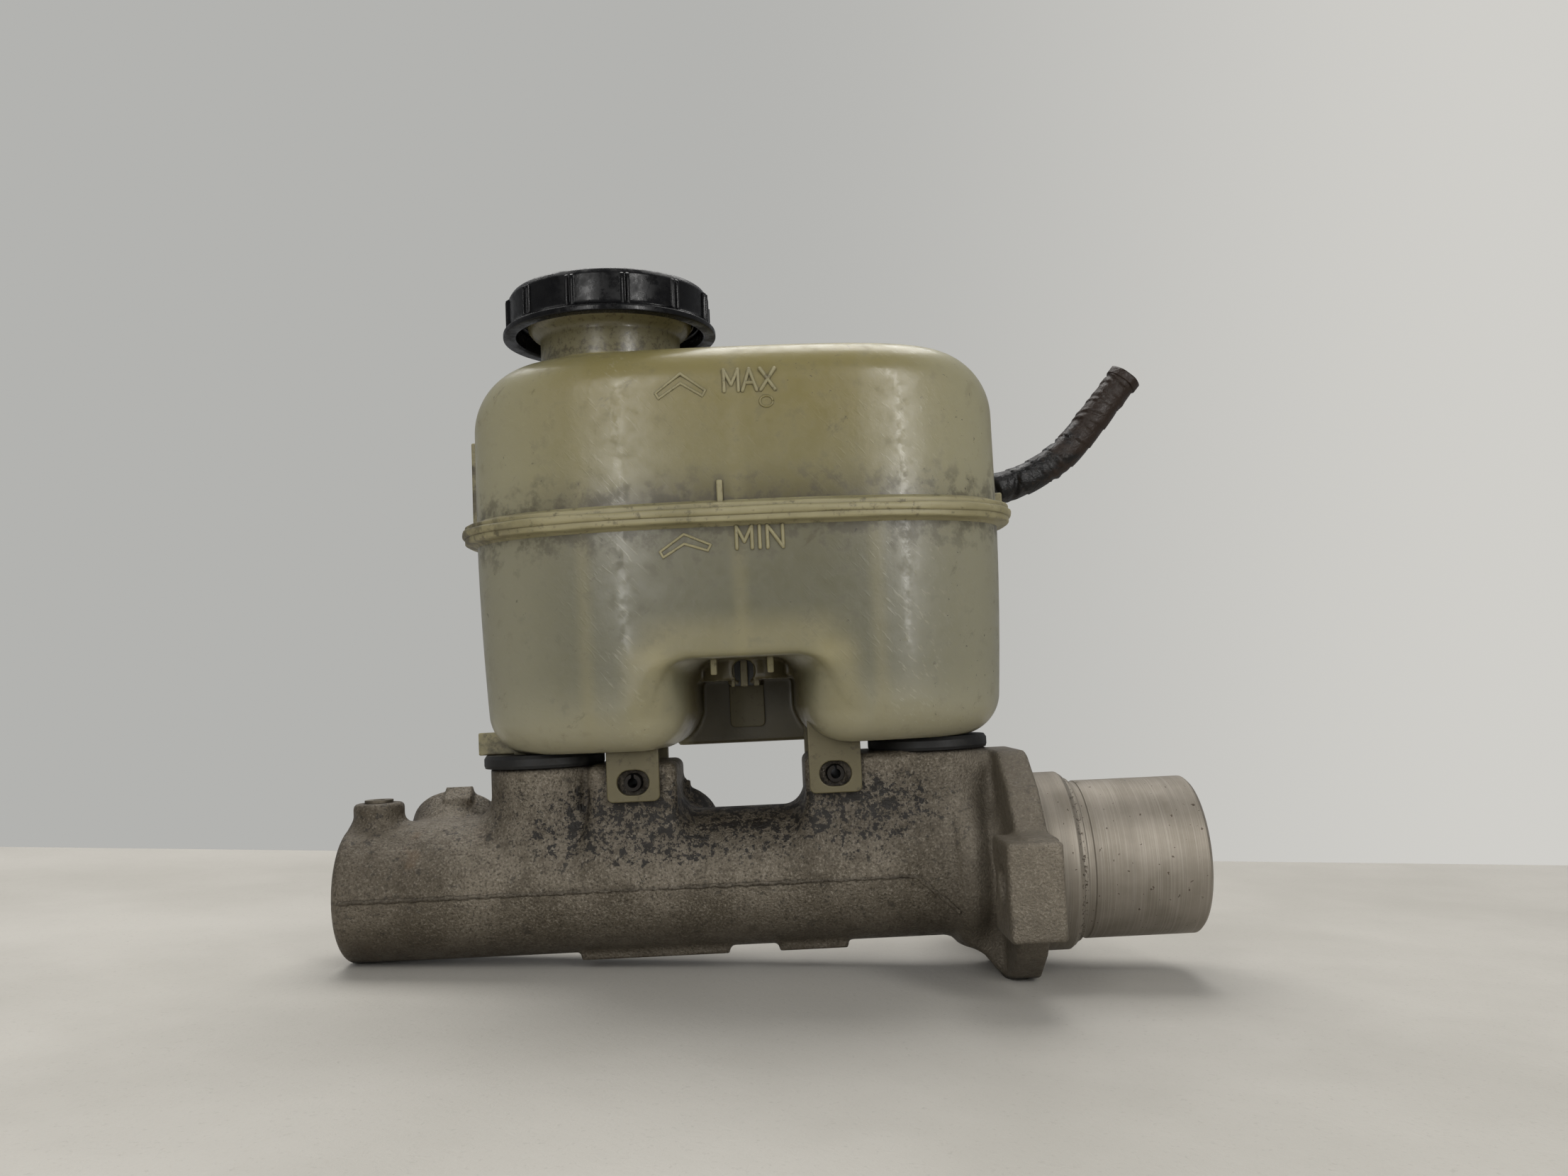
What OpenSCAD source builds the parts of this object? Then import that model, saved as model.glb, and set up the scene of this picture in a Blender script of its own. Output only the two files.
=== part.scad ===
// Tandem brake master cylinder with a remote-cap plastic reservoir.
// Frame: X along the bore towards the booster, Y across, Z up.
// Origin: on the bore axis, in the rear face of the mounting flange.

/* [Bore] */
// Diameter of the bore
bore_d = 31.75; // [31:0.05:32.5]
// X of the closed end of the bore
bore_end = -205; // [-206:0.5:-204]
// Radial gap between a piston and the bore
piston_gap = 0.07; // [0.04:0.01:0.1]
// Radial gap between a rubber cup's lip and the bore
cup_gap = 0.03; // [0.02:0.01:0.05]

/* [Casting] */
// X of the closed end of the casting
body_end = -208.5; // [-210:0.5:-208]
// Barrel radius
barrel_r = 21; // [20.8:0.1:21.2]
// Radius of each reservoir tower
tower_r = 16.5; // [16:0.1:17]
// Height of the tower tops above the bore axis
tower_top = 36.3; // [36:0.1:37]
// X of the front tower
front_tower_x = -147.5; // [-148:0.5:-147]
// X of the rear tower
rear_tower_x = -28; // [-28.5:0.5:-27.5]
// X of the front outlet port
front_port_x = -179.2; // [-180.7:0.5:-178.7]
// X of the rear outlet port
rear_port_x = -110; // [-110.5:0.5:-109.5]
// X of the bleed boss
bleed_x = -199.3; // [-200:0.1:-199]

/* [Flange and spigot] */
// Thickness of the flange plate
flange_t = 9.5; // [9:0.5:10]
// Distance between the two mounting holes
bolt_spacing = 88; // [87:0.5:89]
// Diameter of the mounting holes
bolt_hole_d = 11; // [10.5:0.1:11.5]
// Half width of the flange over its ears
ear_y = 58; // [57:0.5:59]
// Radius of the machined collar
collar_r = 27.1; // [26.9:0.1:27.3]
// Length of the machined collar
collar_l = 12.8; // [12:0.1:13.5]
// Radius of the spigot that enters the booster
spigot_r = 24.05; // [23.9:0.05:24.2]
// X of the open end of the spigot
spigot_end = 51.6; // [51:0.1:52]

/* [Reservoir] */
// X of the middle of the reservoir
res_x = -84.2; // [-84.5:0.1:-84]
// Half length of the reservoir wall
res_a = 81.2; // [80.8:0.1:81.6]
// Half depth of the reservoir wall
res_b = 38; // [37.5:0.1:38.2]
// Height of the flat under the sumps
res_bottom = 40.3; // [40.2:0.1:40.5]
// Height of the joint between the two halves
seam_z = 107.9; // [107.5:0.1:108.3]
// Height of the reservoir's top
res_top = 160; // [159.5:0.1:160.5]
// Wall thickness
wall = 2.5; // [2.3:0.1:2.7]
// How far the welded seam stands proud
seam_out = 4.6; // [4.4:0.1:4.8]
// X of the filler neck
neck_x = -122.6; // [-123:0.1:-122]
// Height of the pocket's roof between the sumps
pocket_top = 66.5; // [66:0.1:67]

/* [Filler cap] */
// Radius of the cap's wall
cap_r = 31.8; // [31.6:0.1:32]
// Radius of the flared rim
cap_rim_r = 33.7; // [33.5:0.1:33.9]
// Height of the cap's lower edge
cap_bottom = 170.4; // [170.2:0.1:170.6]
// Height of the cap's top
cap_top = 184.4; // [184.2:0.1:184.7]
// Number of paired grip ribs
grip_count = 12; // [10:1:14]

/* [Retaining pins] */
// Height of the pins above the bore axis
pin_z = 31; // [30.8:0.1:31.2]
// Distance of each pin from the middle of the reservoir
pin_offset = 30; // [29.5:0.1:30.5]
// Diameter of the hollow spring pins
pin_d = 5; // [4.8:0.1:5.2]

/* [Hidden] */
$fn = 48;

bore_r = bore_d / 2;
piston_r = bore_r - piston_gap;
cup_r = bore_r - cup_gap;
fit = 0.03;

// Casting
tower_bore_r = 12.4;
tower_bore_floor = 20.2;
front_pin_x = res_x - pin_offset - 4.1;
rear_pin_x = res_x + pin_offset - 3.9;
lug_y = 17.2;
ear_t = 15.4;
ear_top = 12.6;
ear_bottom = -14;
lobe_bottom = -32.6;
mouth = 2;
front_port_tilt = 40;
rear_port_tilt = 35;
port_face = 29.6;
port_boss_r = 15;
port_rim_r = 9.6;
port_r = 6;
port_depth = 8.6;
flare_r = 4.8;
flare_depth = 2.4;
seat_r = 3.6;
seat_sink = 2;
seat_floor = port_face - port_depth - flare_depth - seat_sink;
bleed_top = 27.2;
bleed_r = 4;
cast_color = [0.45, 0.42, 0.38];

// Reservoir
sump_inner_left = -97.3;
sump_inner_right = -70;
pocket_back = 24;
pocket_step_y = -8;
pocket_step_z = 60;
nipple_r = 9.45;
nipple_bore_r = 6.5;
neck_r = 26;
neck_root_r = 22.1;
neck_flare_z = 166;
neck_top = 180.5;
neck_wall = 3;
tab_y = 17.6;
tab_t = 2.4;
rib_t = 2.4;
inner_ribs_x = [res_x - 45.2, res_x + 39.6];
sensor_z = 62.8;
socket_bore_r = 3.4;
float_r = 14.1;
float_bottom = 69.3;
float_h = 14;
magnet_r = 3.2;
magnet_h = 4.7;
res_color = [0.72, 0.72, 0.5];

// Bore layout, X of the faces at rest
sec_front_cup_x = -150.8;
sec_land_x = -145.4;
sec_rear_x = -114;
sec_mid_cup_x = -127.5;
sec_rear_cup_x = -121.7;
cup_l = 4.8;
pri_front_cup_x = -31;
pri_rear_cup_x = 15.5;
pri_rear_x = 42.7;
washer_x = 42.9;
groove_x = 45.2;
nose_r = 7;
socket_r = 6.5;
socket_l = 24;
screw_head_x = -98.4;
cage_end_x = -95;
cage_r = 7.7;

// Harness: it lies in one plane behind the reservoir, from the plug up and across, then up and out
harness_y = 50;
harness_r = 5.25;
rise_angle = 49.5;
level_angle = 10;
end_angle = 49;
foot_bend_r = 16;
level_bend_r = 30;
out_bend_r = 60;
rise_l = 57;
level_l = 12;
end_l = 26;

// Points of an arc about c, from angle a0 to a1 in n steps.
function arc(c, r, a0, a1, n = 6) =
    [for (i = [0:n]) let (a = a0 + (a1 - a0) * i / n) [c[0] + r * cos(a), c[1] + r * sin(a)]];

// Points of a superellipse with half axes a and b: the reservoir seen from above.
function plan(a, b, n = 2.7, steps = 48) =
    [for (i = [0:steps - 1])
        let (t = 360 * i / steps, c = cos(t), s = sin(t))
        [a * sign(c) * pow(abs(c), 2 / n), b * sign(s) * pow(abs(s), 2 / n)]];

// A bar along X from x0 to x1.
module along_x(x0, x1, r, r2 = -1) {
    translate([x0, 0, 0]) rotate([0, 90, 0]) cylinder(h = x1 - x0, r1 = r, r2 = r2 < 0 ? r : r2);
}

// A profile of [x, r] points turned about the bore axis.
module turned(points) {
    rotate([0, 90, 0]) rotate_extrude() polygon([for (p = points) [p[1], p[0]]]);
}

// A plate across the bore: a [y, z] outline from x0 to x1.
module across(x0, x1, points) {
    translate([x0, 0, 0]) rotate([90, 0, 90]) linear_extrude(x1 - x0) polygon(points);
}

// A slab seen from the front: an [x, z] outline from y0 to y1.
module facing(y0, y1, points) {
    translate([0, y1, 0]) rotate([90, 0, 0]) linear_extrude(y1 - y0) polygon(points);
}

// A bar along Y at x, z.
module along_y(x, z, y0, y1, r) {
    translate([x, y1, z]) rotate([90, 0, 0]) cylinder(h = y1 - y0, r = r);
}

// Places its children on an outlet port: +Z is the port's axis.
module at_port(x) {
    tilt = x == front_port_x ? front_port_tilt : rear_port_tilt;
    translate([x, 0, 0]) rotate([tilt - 90, 0, 0]) children();
}

// ---- Casting ----

module barrel_blank() {
    // Barrel with a rounded end, a rounded bead before the flange, then the collar and spigot
    end_round = 3.2;
    turned(concat(
        [[body_end, 0], [body_end, barrel_r - end_round]],
        arc([body_end + end_round, barrel_r - end_round], end_round, 180, 90, 4),
        [[-24.5, barrel_r], [-22.5, 22.8], [-20, 23.9], [-16.5, 23.9], [-13, 26], [-9, 27.1]],
        [[collar_l - 0.8, collar_r], [collar_l, collar_r - 0.8], [collar_l, spigot_r + 0.9]],
        [[collar_l + 1.2, spigot_r + 0.9], [collar_l + 1.2, spigot_r], [spigot_end - 1.2, spigot_r]],
        [[spigot_end, spigot_r - 1.2], [spigot_end, 0]]
    ));
}

module tower(x) {
    foot = 4.5;
    translate([x, 0, 0]) {
        cylinder(h = tower_top, r = tower_r);
        translate([0, 0, 12]) cylinder(h = 13, r1 = tower_r + foot, r2 = tower_r);
    }
}

// Lug that carries a retaining pin, from x0 to x1
module lug(x0, x1) {
    rounded = 3;
    facing(-lug_y, lug_y, concat(
        [[x0, 0], [x1, 0]],
        arc([x1 - rounded, tower_top - rounded], rounded, 0, 90, 3),
        arc([x0 + rounded, tower_top - rounded], rounded, 90, 180, 3)
    ));
}

module flange() {
    half = [[-14, 35], [-17.5, 33.8], [-30, 25], [-40, ear_top + 0.4], [-52, ear_top], [-52, ear_bottom],
            [-38, ear_bottom], [-30, -23.5], [-19, lobe_bottom + 1.1], [-14, lobe_bottom]];
    across(-flange_t, 0, concat(half, [for (i = [len(half) - 1:-1:0]) [-half[i][0], half[i][1]]]));
    for (side = [-1, 1]) ear(side);
}

// Thick ear round one mounting hole
module ear(side) {
    corner = 2.5;
    across(-ear_t, 0, [for (p = concat(
        [[36, ear_bottom], [36, ear_top]],
        arc([ear_y - corner, ear_top - corner], corner, 90, 0, 3),
        arc([ear_y - corner, ear_bottom + corner], corner, 0, -90, 3)
    )) [side * p[0], p[1]]]);
}

// Web under the barrel that carries the flange's lower lobe
module lower_web() {
    half = 13;
    facing(-half, half, [
        [-24, -12], [-21, -22], [-16, -24.5], [-12.5, -28.5],
        [-flange_t, lobe_bottom], [-5, lobe_bottom], [-5, -12]
    ]);
}

// Thin ridge left by the mould's parting line
module parting_ridge() {
    width = 0.7;
    length = 172;
    for (side = [-1, 1])
        translate([body_end + 4, side * (barrel_r + 0.3) - width, -width / 2])
            cube([length, 2 * width, width]);
}

// Two flat pads cast under the barrel
module pads() {
    half = 8;
    for (pad = [[-137, -92], [-77, -56]])
        translate([pad[0], -half, -22.4]) cube([pad[1] - pad[0], 2 * half, 6]);
}

// Web between the rear tower and the flange
module rear_web() {
    top = 33;
    half = 9;
    facing(-half, half, [[rear_tower_x, 0], [rear_tower_x, top], [1 - flange_t, top], [1 - flange_t, 0]]);
}

module casting_solid() {
    barrel_blank();
    tower(front_tower_x);
    tower(rear_tower_x);
    lug(front_pin_x - 12, front_pin_x + 12.8);
    lug(rear_pin_x - 9, rear_tower_x);
    rear_web();
    flange();
    lower_web();
    parting_ridge();
    pads();
    translate([bleed_x, 0, 0]) cylinder(h = bleed_top, r = 7.6);
    for (x = [front_port_x, rear_port_x])
        at_port(x) {
            cylinder(h = port_face - 1, r = port_boss_r);
            cylinder(h = port_face, r = port_rim_r);
        }
}

module tower_passages(x, sump_hole_x, bypass_x) {
    translate([x, 0, tower_bore_floor]) cylinder(h = 30, r = tower_bore_r);
    translate([x, 0, tower_top - mouth])
        cylinder(h = 2 * mouth, r1 = tower_bore_r, r2 = tower_bore_r + 2 * mouth);
    translate([sump_hole_x, 0, 12]) cylinder(h = 12, r = 0.8);
    translate([bypass_x, 0, 12]) cylinder(h = 12, r = 2.5);
}

module port_passage(x) {
    at_port(x) {
        translate([0, 0, port_face - port_depth]) cylinder(h = port_depth + 1, r = port_r);
        translate([0, 0, port_face - port_depth - flare_depth]) cylinder(h = flare_depth + 1, r = flare_r);
        translate([0, 0, seat_floor]) cylinder(h = seat_sink + 1, r = seat_r);
        translate([0, 0, 8]) cylinder(h = 12, r = 1.6);
    }
}

module cylinder_body() {
    color(cast_color) difference() {
        casting_solid();
        along_x(bore_end, spigot_end + 1, bore_r);
        along_x(groove_x, groove_x + 1.7, bore_r + 1.5);
        along_x(spigot_end - 1.5, spigot_end + 0.5, bore_r, bore_r + 2);
        tower_passages(front_tower_x, sec_front_cup_x - 1.8, sec_land_x + 8);
        tower_passages(rear_tower_x, pri_front_cup_x - 1.8, pri_front_cup_x + 13);
        port_passage(front_port_x);
        port_passage(rear_port_x);
        for (side = [-1, 1])
            translate([-ear_t - 0.6, side * bolt_spacing / 2, 0]) rotate([0, 90, 0])
                cylinder(h = ear_t + 1.6, d = bolt_hole_d);
        for (x = [front_pin_x, rear_pin_x]) along_y(x, pin_z, -lug_y - 1, lug_y + 1, pin_d / 2 + fit);
        translate([bleed_x, 0, 13]) cylinder(h = 16, r = 2);
        translate([bleed_x, 0, 19]) cylinder(h = 10, r = bleed_r);
    }
}

module bleed_plug() {
    color("dimgray") translate([bleed_x, 0, 0]) difference() {
        union() {
            translate([0, 0, 19.2]) cylinder(h = 8, r = bleed_r - fit);
            translate([0, 0, bleed_top]) cylinder(h = 0.9, r = 4.3);
        }
        translate([0, 0, bleed_top - 2]) rotate([0, 0, 30]) cylinder(h = 4, r = 2, $fn = 6);
    }
}

module tube_seat(x) {
    color("goldenrod") at_port(x) translate([0, 0, seat_floor]) difference() {
        union() {
            cylinder(h = seat_sink, r = seat_r - fit);
            translate([0, 0, seat_sink]) cylinder(h = flare_depth - 0.1, r1 = seat_r - fit, r2 = 1.6);
        }
        translate([0, 0, -1]) cylinder(h = 8, r = 1);
    }
}

module front_tube_seat() { tube_seat(front_port_x); }
module rear_tube_seat() { tube_seat(rear_port_x); }

// ---- Reservoir ----

// The reservoir's plan between two heights, g inside its outer face
module plan_block(z0, z1, g = 0) {
    translate([res_x, 0, z0]) linear_extrude(z1 - z0) polygon(plan(res_a - g, res_b - g));
}

module upper_form(g) {
    corner = 19 - g;
    shoulder = 14 - g;
    top = res_top - g;
    left = res_x - res_a + g;
    right = res_x + res_a - g;
    intersection() {
        plan_block(seam_z, top, g);
        facing(-res_b, res_b, concat(
            [[left, seam_z - 1], [right, seam_z - 1]],
            arc([right - corner - 1, top - corner], corner + 1, 0, 90),
            arc([left + corner + 1, top - corner], corner + 1, 90, 180)
        ));
        across(left - 1, right + 1, concat(
            [[-res_b + g, seam_z - 1], [res_b - g, seam_z - 1]],
            arc([res_b - g - shoulder, top - shoulder], shoulder, 0, 90, 5),
            arc([-res_b + g + shoulder, top - shoulder], shoulder, 90, 180, 5)
        ));
    }
}

module lower_form(g, top) {
    corner = 11 - g;
    bottom = res_bottom + g;
    left = res_x - res_a + g;
    right = res_x + res_a - g;
    intersection() {
        plan_block(bottom, top, g);
        facing(-res_b, res_b, concat(
            [[right, top + 1], [left, top + 1], [left + 0.6, bottom + 40]],
            arc([left + 2.4 + corner, bottom + corner], corner, 180, 270, 4),
            arc([right - 2.4 - corner, bottom + corner], corner, 270, 360, 4),
            [[right - 0.6, bottom + 40]]
        ));
        across(left - 1, right + 1, concat(
            [[res_b - g, top + 1], [-res_b + g, top + 1]],
            arc([-res_b + g + corner, bottom + corner], corner, 180, 270, 4),
            arc([res_b - g - corner, bottom + corner], corner, 270, 360, 4)
        ));
    }
}

// The open pocket between the two sumps, g larger all round
module pocket_form(g) {
    l = sump_inner_left - g;
    r = sump_inner_right + g;
    flare = 9;
    front = -res_b - 4;
    arch = 9;
    intersection() {
        translate([0, 0, 20]) linear_extrude(pocket_top + g - 20) polygon(concat(
            [[l, pocket_back + g], [l, front + 2 * flare], [l - 1.2, front + flare + 4],
             [l - 4, front + flare - 1], [l - flare, front + flare - 5], [l - flare, front]],
            [[r + flare, front], [r + flare, front + flare - 5], [r + 4, front + flare - 1],
             [r + 1.2, front + flare + 4], [r, front + 2 * flare], [r, pocket_back + g]]
        ));
        union() {
            facing(front - 1, pocket_step_y, concat(
                [[l - flare, 10], [r + flare, 10]],
                arc([r + flare - arch, pocket_top + g - arch], arch, 0, 90, 4),
                arc([l - flare + arch, pocket_top + g - arch], arch, 90, 180, 4)
            ));
            translate([l, pocket_step_y - 1, 10])
                cube([r - l, pocket_back + g + 1 - pocket_step_y, pocket_step_z + g - 10]);
        }
    }
}

module seam_band(z0, z1, out) {
    translate([res_x, 0, z0]) linear_extrude(z1 - z0) polygon(plan(res_a + out, res_b + out));
}

// Filler neck: a tube that flares out to the cap's threads
module neck_outside() {
    edge = 0.6;
    translate([neck_x, 0, 0]) rotate_extrude() polygon([
        [neck_root_r, res_top - 8], [neck_root_r, neck_flare_z], [neck_r, neck_flare_z + 5.5],
        [neck_r, neck_top - edge], [neck_r - edge, neck_top], [0, neck_top], [0, res_top - 8]
    ]);
}

module neck_inside() {
    root_r = neck_root_r - neck_wall + 0.4;
    translate([neck_x, 0, 0]) rotate_extrude() polygon([
        [root_r, res_top - 10], [root_r, neck_flare_z], [neck_r - neck_wall, neck_flare_z + 6],
        [neck_r - neck_wall, neck_top + 1], [0, neck_top + 1], [0, res_top - 10]
    ]);
}

// Stiffening ribs inside the front wall, between two heights
module inner_ribs(z0, z1) {
    for (x = inner_ribs_x) translate([x, -res_b, z0]) cube([1.8, 9, z1 - z0]);
}

module reservoir_upper() {
    color(res_color) difference() {
        union() {
            upper_form(0);
            seam_band(seam_z + 0.2, seam_z + 2.6, seam_out);
            seam_band(seam_z, seam_z + 0.4, seam_out - 1.4);
            neck_outside();
            // End ribs and the small rib above the seam
            translate([res_x - res_a - 2.4, -rib_t / 2, seam_z + 2]) cube([5, rib_t, 29]);
            translate([res_x + res_a - 2, -rib_t / 2, seam_z + 2]) cube([5, rib_t, 6]);
            translate([res_x - 4.9, -res_b - 1.3, seam_z + 2]) cube([2.3, 3, 7.6]);
        }
        difference() {
            upper_form(wall);
            inner_ribs(seam_z + 6, res_top);
        }
        plan_block(seam_z - 1, seam_z + 1, wall);
        neck_inside();
    }
}

// Tab that drops from a sump and is held by a retaining pin
module pin_tab(x, side) {
    half = 7.8;
    bottom = 25.3;
    y = side > 0 ? tab_y : -tab_y - tab_t;
    difference() {
        facing(y, y + tab_t, concat(
            [[x + half, res_bottom + 6], [x - half, res_bottom + 6]],
            arc([x - half + 3, bottom + 3], 3, 180, 270, 3),
            arc([x + half - 3, bottom + 3], 3, 270, 360, 3)
        ));
        for (dx = [-1.1, 1.1]) along_y(x + dx, pin_z, y - 1, y + tab_t + 1, 3.7);
        translate([x - 1.1, y - 1, pin_z - 3.7]) cube([2.2, tab_t + 2, 7.4]);
    }
}

// Open-topped ring of guide walls round the float
module float_guide() {
    translate([res_x, 0, pocket_step_z + wall]) difference() {
        cylinder(h = 40, r = 16.4);
        translate([0, 0, -1]) cylinder(h = 42, r = 14.6);
        for (a = [0, 90])
            rotate([0, 0, a]) translate([-20, -4, pocket_top - pocket_step_z + 0.2]) cube([40, 8, 50]);
    }
}

module reservoir_lower() {
    color(res_color) difference() {
        union() {
            difference() {
                lower_form(0, seam_z);
                difference() {
                    lower_form(wall, seam_z + 1);
                    pocket_form(wall);
                    inner_ribs(res_bottom + 2, seam_z - 2);
                    float_guide();
                }
                pocket_form(0);
            }
            difference() {
                union() {
                    seam_band(seam_z - 2.7, seam_z - 0.2, seam_out);
                    seam_band(seam_z - 0.4, seam_z, seam_out - 1.4);
                }
                plan_block(seam_z - 4, seam_z + 1, wall);
            }
            for (x = [front_tower_x, rear_tower_x])
                translate([x, 0, 24]) cylinder(h = res_bottom - 23, r = nipple_r);
            for (x = [front_pin_x, rear_pin_x], side = [-1, 1]) pin_tab(x, side);
            // Sensor socket through the pocket, its two pegs and the blank plate on the pocket's back wall
            translate([res_x - 4.9, pocket_step_y - 2, sensor_z - 4.3]) cube([9.8, 40, 8.6]);
            for (dx = [-9, 8]) translate([res_x + dx, -21, pocket_top - 4.4]) cube([2, 2, 6]);
            translate([res_x - 7.1, pocket_back - 0.9, 45]) cube([13, 2, 13.4]);
            // Foot at the front end and rib at the rear end
            translate([res_x - res_a - 2.4, -1.5, res_bottom]) cube([14, 3, 7]);
            translate([res_x + res_a - 3, -rib_t / 2, seam_z - 11]) cube([3.4, rib_t, 10]);
        }
        for (x = [front_tower_x, rear_tower_x]) translate([x, 0, 22]) cylinder(h = 22, r = nipple_bore_r);
        along_y(res_x, sensor_z, pocket_step_y - 3, 60, socket_bore_r);
    }
}

module grommet(x) {
    brim_r = 18.5;
    color([0.06, 0.06, 0.06]) translate([x, 0, 0]) rotate_extrude() polygon([
        [nipple_r + fit, 22], [tower_bore_r - 1.5, 22], [tower_bore_r - fit, 24.5],
        [tower_bore_r - fit, tower_top - mouth], [tower_bore_r + mouth - 2 * fit, tower_top + fit],
        [brim_r - 0.3, tower_top + fit], [brim_r, 37.2], [brim_r, 39.2], [brim_r - 0.7, res_bottom - fit],
        [nipple_r + fit, res_bottom - fit]
    ]);
}

module front_grommet() { grommet(front_tower_x); }
module rear_grommet() { grommet(rear_tower_x); }

// Hollow spring pin with its slot
module retaining_pin(x) {
    color("gray") difference() {
        along_y(x, pin_z, -21, 21, pin_d / 2);
        along_y(x, pin_z, -22, 22, pin_d / 2 - 1.05);
        translate([x - 0.4, -22, pin_z + 0.6]) cube([0.8, 44, 4]);
    }
}

module front_retaining_pin() { retaining_pin(front_pin_x); }
module rear_retaining_pin() { retaining_pin(rear_pin_x); }

// ---- Filler cap ----

module filler_cap() {
    inner_r = 29.6;
    roof = neck_top + 1.2;
    color([0.05, 0.05, 0.05]) translate([neck_x, 0, 0]) {
        rotate_extrude() polygon([
            [inner_r, cap_bottom], [cap_rim_r, cap_bottom], [cap_rim_r, cap_bottom + 1.8],
            [cap_r, cap_bottom + 3], [cap_r, cap_top - 1.2], [cap_r - 1.2, cap_top], [27, cap_top],
            [26.2, cap_top - 0.5], [0, cap_top - 0.5], [0, roof], [inner_r, roof]
        ]);
        for (i = [0:grip_count - 1], da = [-2.6, 2.6])
            rotate([0, 0, 360 * (i + 0.5) / grip_count + da])
                translate([cap_r - 1, -0.65, cap_bottom + 0.6]) cube([2.1, 1.3, cap_top - cap_bottom - 1.8]);
    }
}

module cap_gasket() {
    brim_r = 29;
    dome_bottom = 175;
    color([0.12, 0.12, 0.12]) translate([neck_x, 0, 0]) rotate_extrude() polygon([
        [brim_r, neck_top + 0.05], [brim_r, neck_top + 1.15], [0, neck_top + 1.15], [0, dome_bottom],
        [12, dome_bottom], [18, dome_bottom + 2], [21.5, neck_top + 0.05]
    ]);
}

// ---- Level float and sensor ----

module level_float() {
    color([0.85, 0.82, 0.7]) translate([res_x, 0, 0]) difference() {
        translate([0, 0, float_bottom]) cylinder(h = float_h, r = float_r);
        translate([0, 0, float_bottom - 1]) cylinder(h = magnet_h + 1, r = magnet_r);
    }
}

module float_magnet() {
    color([0.2, 0.2, 0.22]) translate([res_x, 0, float_bottom + 0.3])
        cylinder(h = magnet_h - 0.4, r = magnet_r - fit);
}

// Probe in the socket, its split barbed tip, and the plug shell behind the reservoir
module sensor_housing() {
    back = 38.4;
    color([0.1, 0.1, 0.1]) difference() {
        union() {
            along_y(res_x, sensor_z, pocket_step_y - 0.5, back, socket_bore_r - 0.05);
            translate([res_x - 9, back, sensor_z - 7]) cube([18, 4, 14]);
            translate([res_x - 7, back + 3, sensor_z - 5.5]) cube([14, 5.4, 11]);
        }
        along_y(res_x, sensor_z, 4, back + 3, 1.9);
        translate([res_x - 5.5, back + 5, sensor_z - 4]) cube([11, 12, 8]);
        for (dx = [-2.1, 1.1]) translate([res_x + dx, pocket_step_y - 2, sensor_z - 4]) cube([1, 8, 8]);
    }
}

module reed_switch() {
    color([0.6, 0.75, 0.6]) along_y(res_x, sensor_z, 4.5, 24, 1.4);
}

module sensor_terminals() {
    color("silver") for (dx = [-2.6, 2.6])
        translate([res_x + dx - 0.8, 43.45, sensor_z - 0.4]) cube([1.6, 3, 0.8]);
}

// Plug on the harness, pushed into the sensor's shell
module sensor_plug() {
    color([0.3, 0.3, 0.3]) difference() {
        union() {
            translate([res_x - 5.4, 43.6, sensor_z - 3.9]) cube([10.8, 4, 7.8]);
            translate([res_x - 7, 46.9, sensor_z - 5.5]) cube([14, 7.6, 11]);
        }
        for (dx = [-2.6, 2.6]) translate([res_x + dx - 0.9, 43, sensor_z - 0.5]) cube([1.8, 4, 1]);
    }
}

// One bend of the harness about centre [x, z], from angle a0 through sweep degrees
module harness_bend(centre, bend_r, a0, sweep) {
    translate([centre[0], harness_y, centre[1]]) rotate([90, 0, 0]) rotate([0, 0, a0])
        rotate_extrude(angle = sweep) translate([bend_r, 0]) circle(r = harness_r - 0.08);
}

// Straight run of the harness, length l from a point in direction a, lapping over the bends it meets
module harness_run(from, l, a) {
    lap = 0.4;
    start = from - lap * heading(a);
    translate([start[0], harness_y, start[1]]) rotate([0, 90 - a, 0])
        cylinder(h = l + 2 * lap, r = harness_r);
}

function heading(a) = [cos(a), sin(a)];
function leftward(a) = [-sin(a), cos(a)];

foot_from = [res_x + 12, sensor_z];
foot_c = foot_from + foot_bend_r * leftward(0);
rise_from = foot_c - foot_bend_r * leftward(rise_angle);
rise_to = rise_from + rise_l * heading(rise_angle);
level_c = rise_to - level_bend_r * leftward(rise_angle);
level_from = level_c + level_bend_r * leftward(level_angle);
level_to = level_from + level_l * heading(level_angle);
out_c = level_to + out_bend_r * leftward(level_angle);
out_to = out_c - out_bend_r * leftward(end_angle);

module harness_sleeve() {
    color([0.12, 0.08, 0.06]) {
        harness_bend(foot_c, foot_bend_r, -90, rise_angle);
        harness_run(rise_from, rise_l, rise_angle);
        harness_bend(level_c, level_bend_r, level_angle + 90, rise_angle - level_angle);
        harness_run(level_from, level_l, level_angle);
        harness_bend(out_c, out_bend_r, level_angle - 90, end_angle - level_angle);
        harness_run(out_to, end_l, end_angle);
    }
}

// The two wires between the plug and the taped sleeve
module harness_wires() {
    color([0.15, 0.1, 0.3]) for (side = [-1, 1])
        translate([res_x + 7.02, harness_y, sensor_z + side * 2]) rotate([0, 90, 0]) cylinder(h = 4.9, r = 1);
}

// ---- Secondary piston ----

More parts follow.
